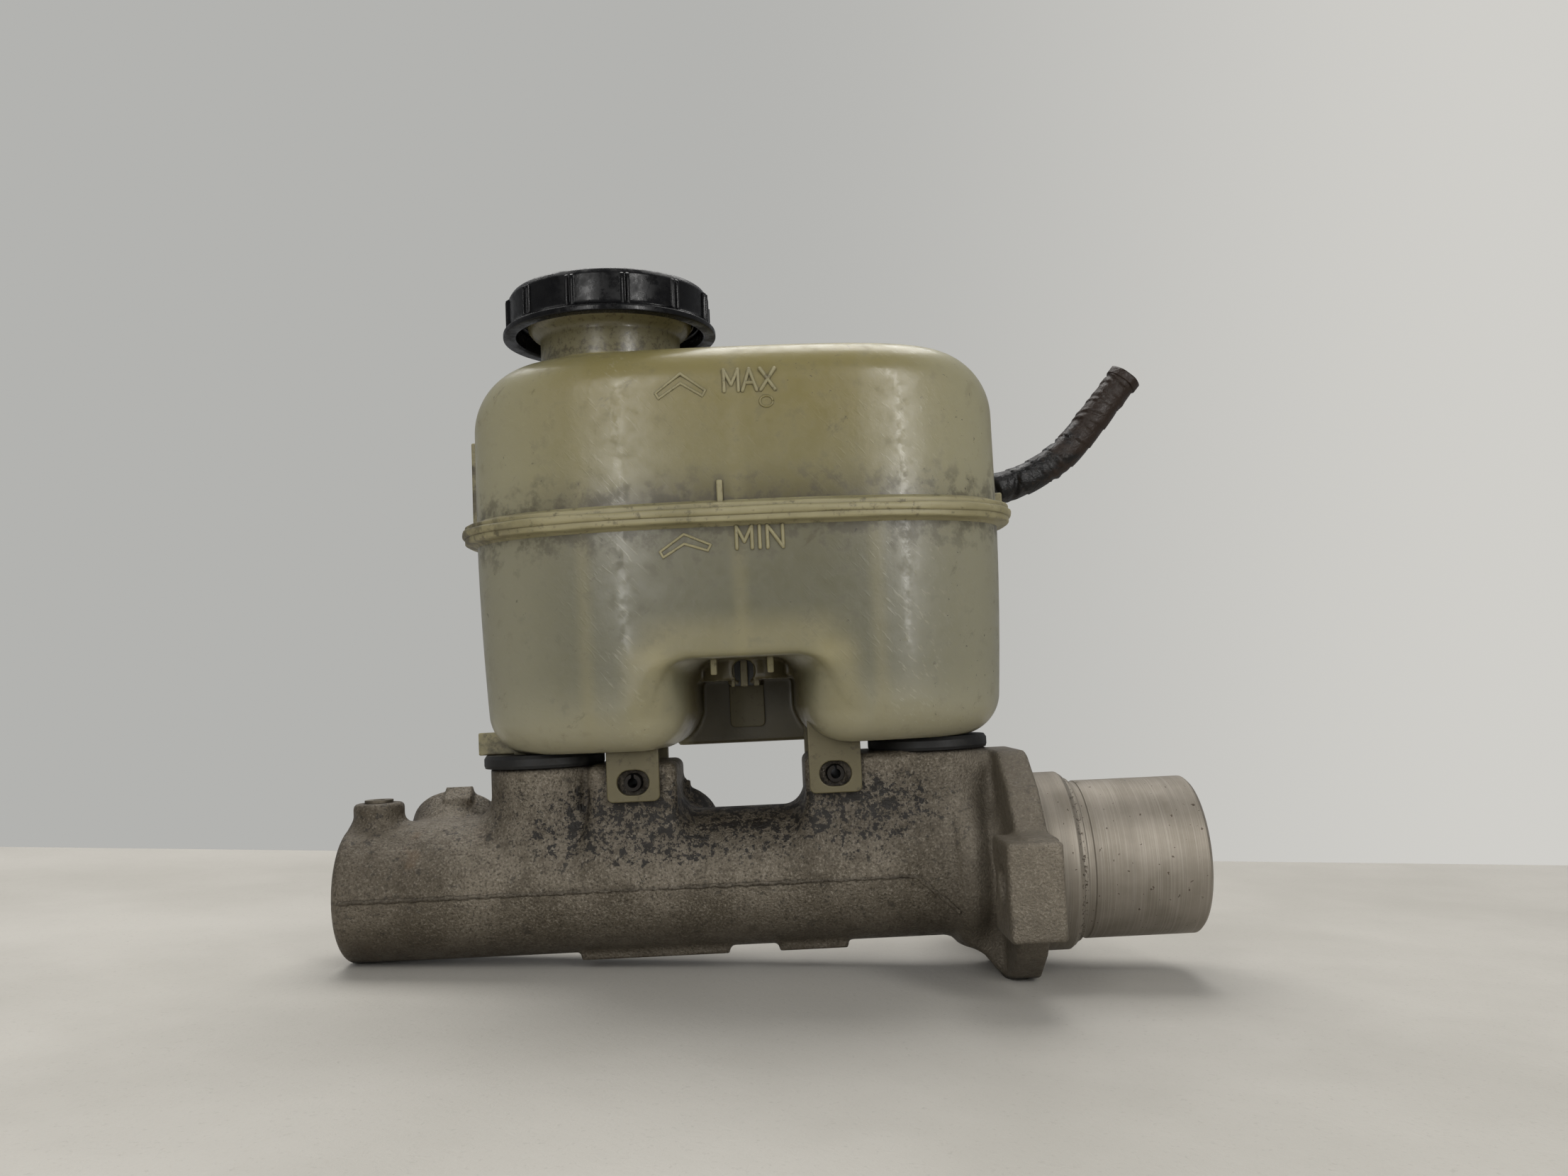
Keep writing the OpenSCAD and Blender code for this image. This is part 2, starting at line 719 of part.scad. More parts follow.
module secondary_piston() {
    color([0.7, 0.7, 0.72]) turned([
        [-153.4, 0], [-153.4, nose_r - 0.5], [-152.9, nose_r], [sec_land_x, nose_r], [sec_land_x, piston_r],
        [-141, piston_r], [-141, 9], [-129, 9], [-129, piston_r],
        [sec_mid_cup_x, piston_r], [sec_mid_cup_x, 11],
        [sec_mid_cup_x + cup_l, 11], [sec_mid_cup_x + cup_l, piston_r], [sec_rear_cup_x, piston_r],
        [sec_rear_cup_x, 11], [sec_rear_cup_x + cup_l, 11], [sec_rear_cup_x + cup_l, piston_r],
        [sec_rear_x, piston_r], [sec_rear_x, 8], [sec_rear_x - 12, 8], [sec_rear_x - 12, 0]
    ]);
}

// Rubber cup: a ring with a V groove that opens towards the pressure side (dir -1 forward, 1 rearward)
module cup(x, length, inner_r, dir = -1) {
    front = dir < 0 ? x + fit : x + length - fit;
    back = dir < 0 ? x + length - fit : x + fit;
    mid_r = (inner_r + cup_r) / 2;
    color([0.09, 0.09, 0.09]) turned([
        [front, inner_r + fit], [front, mid_r - 1.6], [front - dir * 2.4, mid_r], [front, cup_r - 0.5],
        [front - dir * 0.6, cup_r], [front - dir * 2.4, cup_r], [back, cup_r - 0.5], [back, inner_r + fit]
    ]);
}

module secondary_front_cup() { cup(sec_front_cup_x, sec_land_x - sec_front_cup_x, nose_r); }
module secondary_middle_cup() { cup(sec_mid_cup_x, cup_l, 11); }
module secondary_rear_cup() { cup(sec_rear_cup_x, cup_l, 11, 1); }

module spring_seat(x) {
    color("silver") difference() {
        union() {
            along_x(x, x + 1.2, 14);
            along_x(x - 2.5, x + 1, 8.4);
        }
        along_x(x - 4, x + 3, nose_r + fit);
    }
}

module secondary_spring_seat() { spring_seat(sec_front_cup_x - 1.3); }

// Round-wire spring from x0 to x1 with mean radius r: a ring of wire points carried along a helix
module coil(x0, x1, r, wire_r, turns) {
    around = 20;
    sides = 8;
    n = turns * around;
    run = x1 - x0 - 2 * wire_r;
    rings = [for (i = [0:n]) let (a = 360 * i / around, x = x0 + wire_r + run * i / n)
        for (j = [0:sides - 1]) let (b = 360 * j / sides, q = r + wire_r * cos(b))
            [x + wire_r * sin(b), q * cos(a), q * sin(a)]];
    sides_faces = [for (i = [0:n - 1], j = [0:sides - 1]) let (k = (j + 1) % sides)
        [i * sides + j, (i + 1) * sides + j, (i + 1) * sides + k, i * sides + k]];
    polyhedron(rings, concat(
        [for (q = sides_faces) [q[0], q[1], q[2]]],
        [for (q = sides_faces) [q[0], q[2], q[3]]],
        [[for (j = [0:sides - 1]) j]],
        [[for (j = [sides - 1:-1:0]) n * sides + j]]
    ));
}

module secondary_spring() {
    color("lightsteelblue") coil(bore_end + 0.1, sec_front_cup_x - 1.4, 11.2, 1.3, 6);
}

// ---- Primary piston ----

module primary_piston() {
    color([0.7, 0.7, 0.72]) difference() {
        turned([
            [-34, 0], [-34, nose_r - 0.5], [-33.5, nose_r], [-25.8, nose_r],
            [-25.8, piston_r], [-22, piston_r],
            [-22, 9.5], [12.5, 9.5], [12.5, piston_r], [pri_rear_cup_x, piston_r], [pri_rear_cup_x, 11],
            [pri_rear_cup_x + cup_l, 11], [pri_rear_cup_x + cup_l, piston_r], [pri_rear_x - 0.8, piston_r],
            [pri_rear_x, piston_r - 0.8], [pri_rear_x, 0]
        ]);
        along_x(pri_rear_x - socket_l, pri_rear_x + 1, socket_r);
        along_x(-35, -20, 3 + fit);
    }
}

module primary_front_cup() { cup(pri_front_cup_x, 5.2, nose_r); }
module primary_rear_cup() { cup(pri_rear_cup_x, cup_l, 11); }
module primary_spring_seat() { spring_seat(pri_front_cup_x - 1.3); }

module primary_spring() {
    color("lightsteelblue") coil(sec_rear_x + 1.5, pri_front_cup_x - 1.4, 11.2, 1.3, 9);
}

// Hat-shaped cage: its brim rests on the secondary piston and its crown holds the screw's head
module primary_spring_cage() {
    brim = sec_rear_x + 0.05;
    color("silver") turned([
        [brim, cage_r - 1.1], [brim, 13], [brim + 1.3, 13], [brim + 1.3, cage_r], [cage_end_x + 1.3, cage_r],
        [cage_end_x + 1.3, 3.3], [cage_end_x, 3.3], [cage_end_x, cage_r - 1.1]
    ]);
}

module cage_screw() {
    color("silver") difference() {
        union() {
            along_x(screw_head_x, cage_end_x - 0.05, 5.2);
            along_x(cage_end_x - 1, -21, 3);
        }
        along_x(screw_head_x - 1, screw_head_x + 1.8, 2.2);
    }
}

// ---- Open end ----

module stop_washer() {
    color("silver") difference() {
        along_x(washer_x, groove_x - 0.05, bore_r - 0.1);
        along_x(washer_x - 1, groove_x + 1, 9.5);
    }
}

// Internal circlip with its gap and two eyes
module snap_ring() {
    thick = 1.5;
    x = groove_x + 0.05;
    color([0.3, 0.3, 0.32]) difference() {
        union() {
            difference() {
                along_x(x, x + thick, bore_r + 1.3);
                along_x(x - 1, x + thick + 1, bore_r - 2.2);
                translate([x - 1, -2.5, -25]) cube([4, 5, 20]);
            }
            for (side = [-1, 1]) translate([0, side * 4.2, -12.6]) along_x(x, x + thick, 2.4);
        }
        for (side = [-1, 1]) translate([0, side * 4.2, -12.6]) along_x(x - 1, x + thick + 1, 1);
    }
}

cylinder_body();
bleed_plug();
front_tube_seat();
rear_tube_seat();
reservoir_upper();
reservoir_lower();
front_grommet();
rear_grommet();
front_retaining_pin();
rear_retaining_pin();
filler_cap();
cap_gasket();
level_float();
float_magnet();
sensor_housing();
reed_switch();
sensor_terminals();
sensor_plug();
harness_sleeve();
harness_wires();
secondary_piston();
secondary_front_cup();
secondary_middle_cup();
secondary_rear_cup();
secondary_spring_seat();
secondary_spring();
primary_piston();
primary_front_cup();
primary_rear_cup();
primary_spring_seat();
primary_spring();
primary_spring_cage();
cage_screw();
stop_washer();
snap_ring();
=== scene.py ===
"""Brake master cylinder: the looks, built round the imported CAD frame.

Shapes are worked out in millimetres, as signed distance functions that are turned into meshes, or as turned and
swept profiles. They are scaled to metres when a mesh is made.
"""

import math

import bmesh
import bpy
import numpy as np
from mathutils import Matrix, Vector


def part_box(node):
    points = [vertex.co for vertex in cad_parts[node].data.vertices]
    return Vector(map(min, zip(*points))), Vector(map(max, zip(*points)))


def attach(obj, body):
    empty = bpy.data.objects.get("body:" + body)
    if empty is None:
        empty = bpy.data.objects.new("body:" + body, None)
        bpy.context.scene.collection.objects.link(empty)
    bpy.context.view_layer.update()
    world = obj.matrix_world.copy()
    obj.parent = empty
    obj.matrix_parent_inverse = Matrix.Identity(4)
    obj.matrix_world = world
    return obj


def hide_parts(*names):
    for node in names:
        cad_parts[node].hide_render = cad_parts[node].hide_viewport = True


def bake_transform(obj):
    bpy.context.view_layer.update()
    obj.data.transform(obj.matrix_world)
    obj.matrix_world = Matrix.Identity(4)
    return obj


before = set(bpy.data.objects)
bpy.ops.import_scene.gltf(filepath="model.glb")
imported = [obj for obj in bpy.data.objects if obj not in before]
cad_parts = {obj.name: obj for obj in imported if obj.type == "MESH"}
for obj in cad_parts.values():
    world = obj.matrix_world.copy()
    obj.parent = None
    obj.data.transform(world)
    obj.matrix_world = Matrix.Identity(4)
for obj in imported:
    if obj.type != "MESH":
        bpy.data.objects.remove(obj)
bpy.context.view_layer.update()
MM = 0.001


def node_box(name):
    """Lowest and highest corner of a CAD node, in millimetres."""
    lo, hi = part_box(name)
    return np.array(lo) / MM, np.array(hi) / MM


def node_middle(name):
    lo, hi = node_box(name)
    return (lo + hi) / 2


# ---- Sizes, read from the CAD frame where it holds them ----

BODY_LO, BODY_HI = node_box("cylinder_body")
UPPER_LO, UPPER_HI = node_box("reservoir_upper")
CAP_LO, CAP_HI = node_box("filler_cap")

# Casting
BARREL_R = 21.0
BORE_R = 15.875
BORE_END = -205.0
TOWER_R = 16.5
TOWER_TOP = 36.3
TOWERS_X = (node_middle("front_grommet")[0], node_middle("rear_grommet")[0])
PINS_X = (node_middle("front_retaining_pin")[0], node_middle("rear_retaining_pin")[0])
PIN_Z = node_middle("front_retaining_pin")[2]
# Where each outlet port stands along the barrel, and its tilt
PORTS = (
    (node_middle("front_tube_seat")[0], math.radians(40)),
    (node_middle("rear_tube_seat")[0], math.radians(35)),
)
PORT_FACE = 29.6
PORT_BOSS_R = 15.0
PORT_RIM_R = 9.6
BLEED_X = node_middle("bleed_plug")[0]
BLEED_TOP = 27.2
LUG_Y = 17.2
FLANGE_T = 9.5
EAR_T = 15.4
EAR_Y = BODY_HI[1]
EAR_TOP, EAR_BOTTOM = 12.6, -14.0
LOBE_BOTTOM = BODY_LO[2]
BOLT_Y = 44.0
BOLT_R = 5.5
COLLAR_R = 27.1
COLLAR_L = 12.8
SPIGOT_R = 24.05
SPIGOT_END = BODY_HI[0]
GROOVE_X = node_box("snap_ring")[0][0] - 0.05

# Reservoir
RES_X = node_middle("level_float")[0]
RES_A = 81.2
RES_B = 38.0
RES_POWER = 2.7
RES_BOTTOM = 40.3
RES_TOP = 160.0
SEAM_Z = UPPER_LO[2]
SEAM_OUT = 4.6
WALL = 2.5
NECK_X = node_middle("filler_cap")[0]
NECK_TOP = UPPER_HI[2]
NECK_R = 26.0
NECK_ROOT_R = 22.1
SENSOR_Z = node_middle("sensor_housing")[2]
POCKET_X = (-98.7, -68.6)
POCKET_TOP = 66.5
INNER_RIBS = (RES_X - 45.2, RES_X + 39.6)

# Cap
CAP_R = 31.8
CAP_RIM_R = 33.7
CAP_INNER_R = 29.6
CAP_GRIPS = 12
THREAD_LEAD = 5.0

# Harness
HARNESS_Y = node_middle("harness_sleeve")[1]
HARNESS_R = 5.25


# ---- Signed distance functions ----

X, Y, Z = 0, 1, 2


def span(v, low, high):
    """How far v lies outside low to high."""
    return np.maximum(low - v, v - high)


def round_min(a, b, r):
    """Union with a fillet of radius r."""
    return np.maximum(np.minimum(a, b), r) - np.hypot(np.maximum(r - a, 0), np.maximum(r - b, 0))


def round_max(a, b, r):
    """Intersection with a rounded edge of radius r."""
    return -round_min(-a, -b, r)


def cut(a, b, r=0.3):
    """a with b taken away, its edge rounded."""
    return round_max(a, -b, r)


def bar(p, axis, low, high, r, middle, edge=0.5):
    """Round bar along an axis, with its middle line at a place across it."""
    u, v = [p[i] for i in (X, Y, Z) if i != axis]
    return round_max(np.hypot(u - middle[0], v - middle[1]) - r, span(p[axis], low, high), edge)


def block(p, lo, hi, r=1.0):
    """Box from lo to hi with all its edges rounded."""
    q = [np.abs(p[i] - (lo[i] + hi[i]) / 2) - (hi[i] - lo[i]) / 2 + r for i in (X, Y, Z)]
    outside = np.sqrt(sum(np.maximum(c, 0) ** 2 for c in q))
    return outside + np.minimum(np.maximum(q[0], np.maximum(q[1], q[2])), 0) - r


def outline(u, v, points):
    """Distance to a closed outline in a plane."""
    d = np.full(np.shape(u), 1e18)
    inside = np.zeros(np.shape(u), bool)
    for (ax, ay), (bx, by) in zip(points, points[1:] + points[:1]):
        ex, ey = bx - ax, by - ay
        wx, wy = u - ax, v - ay
        t = np.clip((wx * ex + wy * ey) / (ex * ex + ey * ey), 0, 1)
        d = np.minimum(d, (wx - ex * t) ** 2 + (wy - ey * t) ** 2)
        if ey:
            inside ^= ((ay > v) != (by > v)) & (u < ax + ex * (v - ay) / ey)
    return np.where(inside, -1, 1) * np.sqrt(d)


def settle(f, p, passes=3, reach=0.5, h=0.03):
    """Moves points onto the surface f = 0 along its slope."""
    for _ in range(passes):
        slope = np.array([(f(p + e) - f(p - e)) / (2 * h) for e in np.eye(3)[:, :, None] * h])
        p = p - np.clip(f(p) / np.maximum((slope**2).sum(0), 0.05), -reach, reach) * slope
    return p


def sample(f, lo, hi, step, cells=4):
    """f on a grid from lo to hi, worked out only near its surface. Returns the values and the grid's origin."""
    lo = np.array(lo, float) - 1.5 * step
    size = step * cells
    count = np.ceil((np.array(hi) + 1.5 * step - lo) / size).astype(int)
    middles = np.meshgrid(*[lo[i] + (np.arange(count[i]) + 0.5) * size for i in (X, Y, Z)], indexing="ij")
    values = f(middles)
    near = np.abs(values) < size * 1.3
    for axis in (X, Y, Z):
        values, near = values.repeat(cells, axis), near.repeat(cells, axis)
    where = np.nonzero(near)
    values[where] = f([lo[i] + where[i] * step for i in (X, Y, Z)])
    return values, lo


def net(values, lo, step):
    """Surface net: one point in each cell that the surface crosses, joined into quads."""
    inside = values < 0
    n = [s - 1 for s in values.shape]
    corners = [(i, j, k) for i in (0, 1) for j in (0, 1) for k in (0, 1)]
    total = sum(inside[i : i + n[0], j : j + n[1], k : k + n[2]].astype(np.int8) for i, j, k in corners)
    crossed = (total > 0) & (total < 8)
    cells = np.array(np.nonzero(crossed))
    index = -np.ones(crossed.shape, np.int64)
    index[crossed] = np.arange(cells.shape[1])
    place = np.zeros(cells.shape)
    hits = np.zeros(cells.shape[1])
    at = {c: values[cells[0] + c[0], cells[1] + c[1], cells[2] + c[2]] for c in corners}
    for a in corners:
        for axis in (X, Y, Z):
            if a[axis]:
                continue
            b = tuple(1 if i == axis else a[i] for i in (X, Y, Z))
            use = (at[a] < 0) != (at[b] < 0)
            t = at[a] / np.where(use, at[a] - at[b], 1)
            for i in (X, Y, Z):
                place[i] += np.where(use, a[i] + (t if i == axis else 0), 0)
            hits += use
    points = np.array(lo)[:, None] + (cells + place / hits) * step
    faces = []
    for axis in (X, Y, Z):
        first = [slice(1, n[i]) for i in (X, Y, Z)]
        first[axis] = slice(0, n[axis])
        second = list(first)
        second[axis] = slice(1, n[axis] + 1)
        a, b = inside[tuple(first)], inside[tuple(second)]
        for entering in (False, True):
            where = np.array(np.nonzero((~a & b) if entering else (a & ~b)))
            where += (np.arange(3) != axis)[:, None]
            quad = []
            for du, dv in ((0, 0), (1, 0), (1, 1), (0, 1)):
                c = where.copy()
                c[(axis + 1) % 3] -= du
                c[(axis + 2) % 3] -= dv
                quad.append(index[c[0], c[1], c[2]])
            faces.append(np.stack(quad[::-1] if entering else quad, 1))
    return points, np.concatenate(faces)


def solid(name, f, lo, hi, step):
    """Mesh object of the surface f = 0."""
    step *= 1.0
    values, origin = sample(f, lo, hi, step)
    points, faces = net(values, origin, step)
    return mesh_object(name, settle(f, points).T, faces)


# ---- Meshes ----


def mesh_object(name, points, faces, smooth=True):
    """Object from points in millimetres and faces."""
    mesh = bpy.data.meshes.new(name)
    mesh.from_pydata(np.array(points, float) * MM, [], faces)
    mesh.validate()
    mesh.polygons.foreach_set("use_smooth", [smooth] * len(mesh.polygons))
    return link(bpy.data.objects.new(name, mesh))


def link(obj):
    bpy.context.scene.collection.objects.link(obj)
    return obj


def tidy_mesh(obj, join=1e-6):
    """Joins points that meet, such as a profile's on the axis, and turns every face outwards."""
    work = bmesh.new()
    work.from_mesh(obj.data)
    bmesh.ops.remove_doubles(work, verts=work.verts, dist=join)
    bmesh.ops.dissolve_degenerate(work, edges=work.edges, dist=join)
    bmesh.ops.recalc_face_normals(work, faces=work.faces)
    work.to_mesh(obj.data)
    work.free()
    return obj


def soften(obj, edge, segments=3, angle=30):
    """Bevels an object's sharp edges with a modifier that shades them evenly."""
    bevel = obj.modifiers.new("edges", "BEVEL")
    bevel.width = edge * MM
    bevel.segments = segments
    bevel.limit_method = "ANGLE"
    bevel.angle_limit = math.radians(angle)
    bevel.harden_normals = True
    return obj


def arc(centre, r, a0, a1, steps=8):
    """Points of an arc from angle a0 to a1, in degrees."""
    turns = [math.radians(a0 + (a1 - a0) * i / steps) for i in range(steps + 1)]
    return [(centre[0] + r * math.cos(t), centre[1] + r * math.sin(t)) for t in turns]


def rounded(points, radii, steps=4):
    """Closed outline with each corner replaced by an arc-like curve; a radius of 0 keeps the corner."""
    out = []
    for i, corner in enumerate(points):
        q = np.array(corner, float)
        r = radii if np.isscalar(radii) else radii[i]
        if not r:
            out.append(q)
            continue
        ends = []
        for other in (points[i - 1], points[(i + 1) % len(points)]):
            side = np.array(other, float) - q
            size = np.linalg.norm(side)
            ends.append(q + side / size * min(r, size * 0.49))
        for s in range(steps + 1):
            t = s / steps
            out.append((1 - t) ** 2 * ends[0] + 2 * t * (1 - t) * q + t * t * ends[1])
    return out


def rings_object(name, rings, close=True):
    """Surface through rings of points. It closes from the last ring to the first, or is capped at its ends."""
    rows, columns = len(rings), len(rings[0])
    faces = []
    for i in range(rows if close else rows - 1):
        k = (i + 1) % rows
        for j in range(columns):
            m = (j + 1) % columns
            faces.append([i * columns + j, k * columns + j, k * columns + m, i * columns + m])
    if not close:
        faces += [range(columns), range((rows - 1) * columns, rows * columns)]
    return tidy_mesh(mesh_object(name, np.concatenate(rings), faces))


def lathe(name, profile, axis=Z, centre=(0, 0), turns=96, bulge=None):
    """Closed (radius, height) profile turned about an axis. bulge(angle, r, h) adds to a radius."""
    angles = np.arange(turns) * 2 * math.pi / turns
    rings = []
    for r, h in profile:
        ring = r + (bulge(angles, r, h) if bulge else 0) * np.ones(turns)
        across = [ring * np.cos(angles) + centre[0], ring * np.sin(angles) + centre[1]]
        across.insert(axis, np.full(turns, float(h)))
        rings.append(np.stack(across, 1))
    return rings_object(name, rings)


def transport(points):
    """Unit tangents of a line of points, and two normals carried along it without twist."""
    tangent = np.gradient(points, axis=0)
    tangent /= np.linalg.norm(tangent, axis=1)[:, None]
    start = np.array([0, 0, 1.0]) if abs(tangent[0][2]) < 0.9 else np.array([0, 1.0, 0])
    normal = [np.cross(tangent[0], np.cross(start, tangent[0]))]
    normal[0] /= np.linalg.norm(normal[0])
    for t in tangent[1:]:
        q = normal[-1] - t * np.dot(normal[-1], t)
        normal.append(q / np.linalg.norm(q))
    normal = np.array(normal)
    return tangent, normal, np.cross(tangent, normal)


def tube(name, points, radius, sides=12, round_ends=False):
    """Tube along a line of points. radius is a number or an array, one row a point and one column a side."""
    points = np.array(points, float)
    tangent, normal, binormal = transport(points)
    radius = np.asarray(radius, float)
    radii = np.broadcast_to(radius[:, None] if radius.ndim == 1 else radius, (len(points), sides))
    if round_ends:
        turn = np.linspace(0, math.pi / 2, 5)[1:]
        head = [points[0] - tangent[0] * radii[0].mean() * math.sin(a) for a in turn][::-1]
        tail = [points[-1] + tangent[-1] * radii[-1].mean() * math.sin(a) for a in turn]
        shrink = np.maximum(np.cos(turn), 0.02)[:, None]
        points = np.concatenate([head, points, tail])
        radii = np.concatenate([radii[0] * shrink[::-1], radii, radii[-1] * shrink])
        ends = len(turn)
        normal, binormal = [np.concatenate([[v[0]] * ends, v, [v[-1]] * ends]) for v in (normal, binormal)]
    angles = np.arange(sides)[None, :, None] * 2 * math.pi / sides
    around = np.cos(angles) * normal[:, None] + np.sin(angles) * binormal[:, None]
    return rings_object(name, points[:, None] + radii[:, :, None] * around, close=False)


def slab(name, lo, hi, edge):
    """Block with bevelled edges."""
    x, y, z = zip(lo, hi)
    corners = [(a, b, c) for a in x for b in y for c in z]
    faces = [(0, 1, 3, 2), (4, 6, 7, 5), (0, 4, 5, 1), (2, 3, 7, 6), (0, 2, 6, 4), (1, 5, 7, 3)]
    return soften(mesh_object(name, corners, faces, smooth=False), edge)


def plate(name, outlines, thickness, edge, y):
    """Upright plate at y from a closed (x, z) outline and its holes."""
    curve = bpy.data.curves.new(name, "CURVE")
    curve.dimensions = "2D"
    curve.fill_mode = "BOTH"
    curve.extrude = (thickness / 2 - edge) * MM
    curve.bevel_depth = edge * MM
    curve.bevel_resolution = 2
    curve.offset = -edge * MM
    for points in outlines:
        spline = curve.splines.new("POLY")
        spline.points.add(len(points) - 1)
        for point, q in zip(spline.points, points):
            point.co = (q[0] * MM, q[1] * MM, 0, 1)
        spline.use_cyclic_u = True
    shaped = link(bpy.data.objects.new(name + "_curve", curve))
    bpy.context.view_layer.update()
    mesh = bpy.data.meshes.new_from_object(shaped.evaluated_get(bpy.context.evaluated_depsgraph_get()))
    bpy.data.objects.remove(shaped)
    bpy.data.curves.remove(curve)
    mesh.transform(Matrix.Translation((0, y * MM, 0)) @ Matrix.Rotation(math.radians(90), 4, "X"))
    mesh.name = name
    return tidy_mesh(link(bpy.data.objects.new(name, mesh)), 2e-6)


def dress(obj, material, *nodes):
    """Gives a piece its material and the CAD nodes it stands for."""
    obj.data.materials.clear()
    obj.data.materials.append(material)
    if nodes:
        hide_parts(*nodes)


def put(obj, material, *nodes, body="housing"):
    """Dresses a piece and fixes it to a body."""
    dress(obj, material, *nodes)
    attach(obj, body)


# ---- Materials ----


class Value:
    """What a shader node gives out. Sums and products of values add the nodes that work them out."""

    def __init__(self, graph, socket):
        self.graph, self.socket = graph, socket

    def __add__(self, other):
        return self.graph.math("ADD", self, other)

    def __sub__(self, other):
        return self.graph.math("SUBTRACT", self, other)

    def __rsub__(self, other):
        return self.graph.math("SUBTRACT", other, self)

    def __mul__(self, other):
        return self.graph.math("MULTIPLY", self, other)

    def fade(self, low, high):
        """0 below low, 1 above high, and back to front when low is above high."""
        start, end = (1.0, 0.0) if low > high else (0.0, 1.0)
        ends = {"From Min": min(low, high), "From Max": max(low, high), "To Min": start, "To Max": end}
        return self.graph.add("MapRange", inputs={"Value": self, **ends}, interpolation_type="SMOOTHSTEP")

    def between(self, low, high, soft):
        """1 from low to high, fading over soft at both ends."""
        return self.fade(low - soft, low + soft) * self.fade(high + soft, high - soft)


class Graph:
    """The shader nodes of a material or a world."""

    def __init__(self, owner):
        owner.use_nodes = True
        self.nodes, self.links = owner.node_tree.nodes, owner.node_tree.links

    def feed(self, target, value):
        """Gives a node's input a number, a colour or another node's value."""
        if isinstance(value, Value):
            self.links.new(value.socket, target)
        elif isinstance(value, tuple) and target.type == "RGBA":
            target.default_value = (*value, 1)
        else:
            target.default_value = value

    def add(self, kind, output=0, inputs=None, **options):
        node = self.nodes.new("ShaderNode" + kind)
        for key, value in options.items():
            setattr(node, key, value)
        for key, value in (inputs or {}).items():
            self.feed(node.inputs[key], value)
        return Value(self, node.outputs[output])

    def math(self, operation, a, b=0.0):
        return self.add("Math", inputs={0: a, 1: b}, operation=operation)

    def mix(self, amount, a, b):
        return self.add("Mix", 2, {0: amount, 6: a, 7: b}, data_type="RGBA")


class Paint(Graph):
    """A material built step by step. Sizes are in millimetres, and a noise's size is that of its features."""

    def __init__(self, name, **values):
        self.material = bpy.data.materials.new(name)
        super().__init__(self.material)
        self.place = self.add("TexCoord", "Object")
        self.normal = None
        self.set(**values)

    def set(self, **values):
        """Feeds the main shader's inputs, named in lower case with underscores."""
        for target in self.nodes["Principled BSDF"].inputs:
            name = target.name.lower().replace(" ", "_")
            if name in values:
                self.feed(target, values[name])

    def cover(self, a, b, amount):
        """Starts the colour, from a to b."""
        self.base = self.mix(amount, a, b)
        self.set(base_color=self.base)

    def stain(self, colour, amount):
        """Lays another colour over what is there."""
        self.cover(self.base, colour, amount)

    def stretched(self, factors, angle=0.0):
        """The object's coordinates turned about Y and scaled along each axis, so that a texture has a grain."""
        turned = self.place
        if angle:
            turned = self.add("VectorRotate", inputs={"Vector": turned, "Angle": angle}, rotation_type="Y_AXIS")
        return self.add("VectorMath", inputs={0: turned, 1: factors}, operation="MULTIPLY")

    def noise(self, size, detail=3.0, rough=0.55, place=None, warp=0.0):
        inputs = {"Vector": place or self.place, "Scale": 1 / (size * MM), "Detail": detail, "Roughness": rough}
        return self.add("TexNoise", inputs={**inputs, "Distortion": warp})

    def axis(self, name):
        """Distance along one of the object's axes."""
        return self.add("SeparateXYZ", name, {0: self.place}) * (1 / MM)

    def corners(self, reach):
        """How much the surface is tucked into a corner, for painting shade into corners and gaps."""
        return self.add("AmbientOcclusion", "AO", {"Distance": reach * MM}, samples=4).fade(0.85, 0.35)

    def bump(self, height, depth, strength=1.0):
        """Adds relief to the surface."""
        inputs = {"Height": height, "Distance": depth * MM, "Strength": strength}
        if self.normal:
            inputs["Normal"] = self.normal
        self.normal = self.add("Bump", inputs=inputs)
        self.set(normal=self.normal)

    def round_edges(self, radius):
        """Shades sharp CAD edges as if they were rounded."""
        self.normal = self.add("Bevel", inputs={"Radius": radius * MM}, samples=4)
        self.set(normal=self.normal)


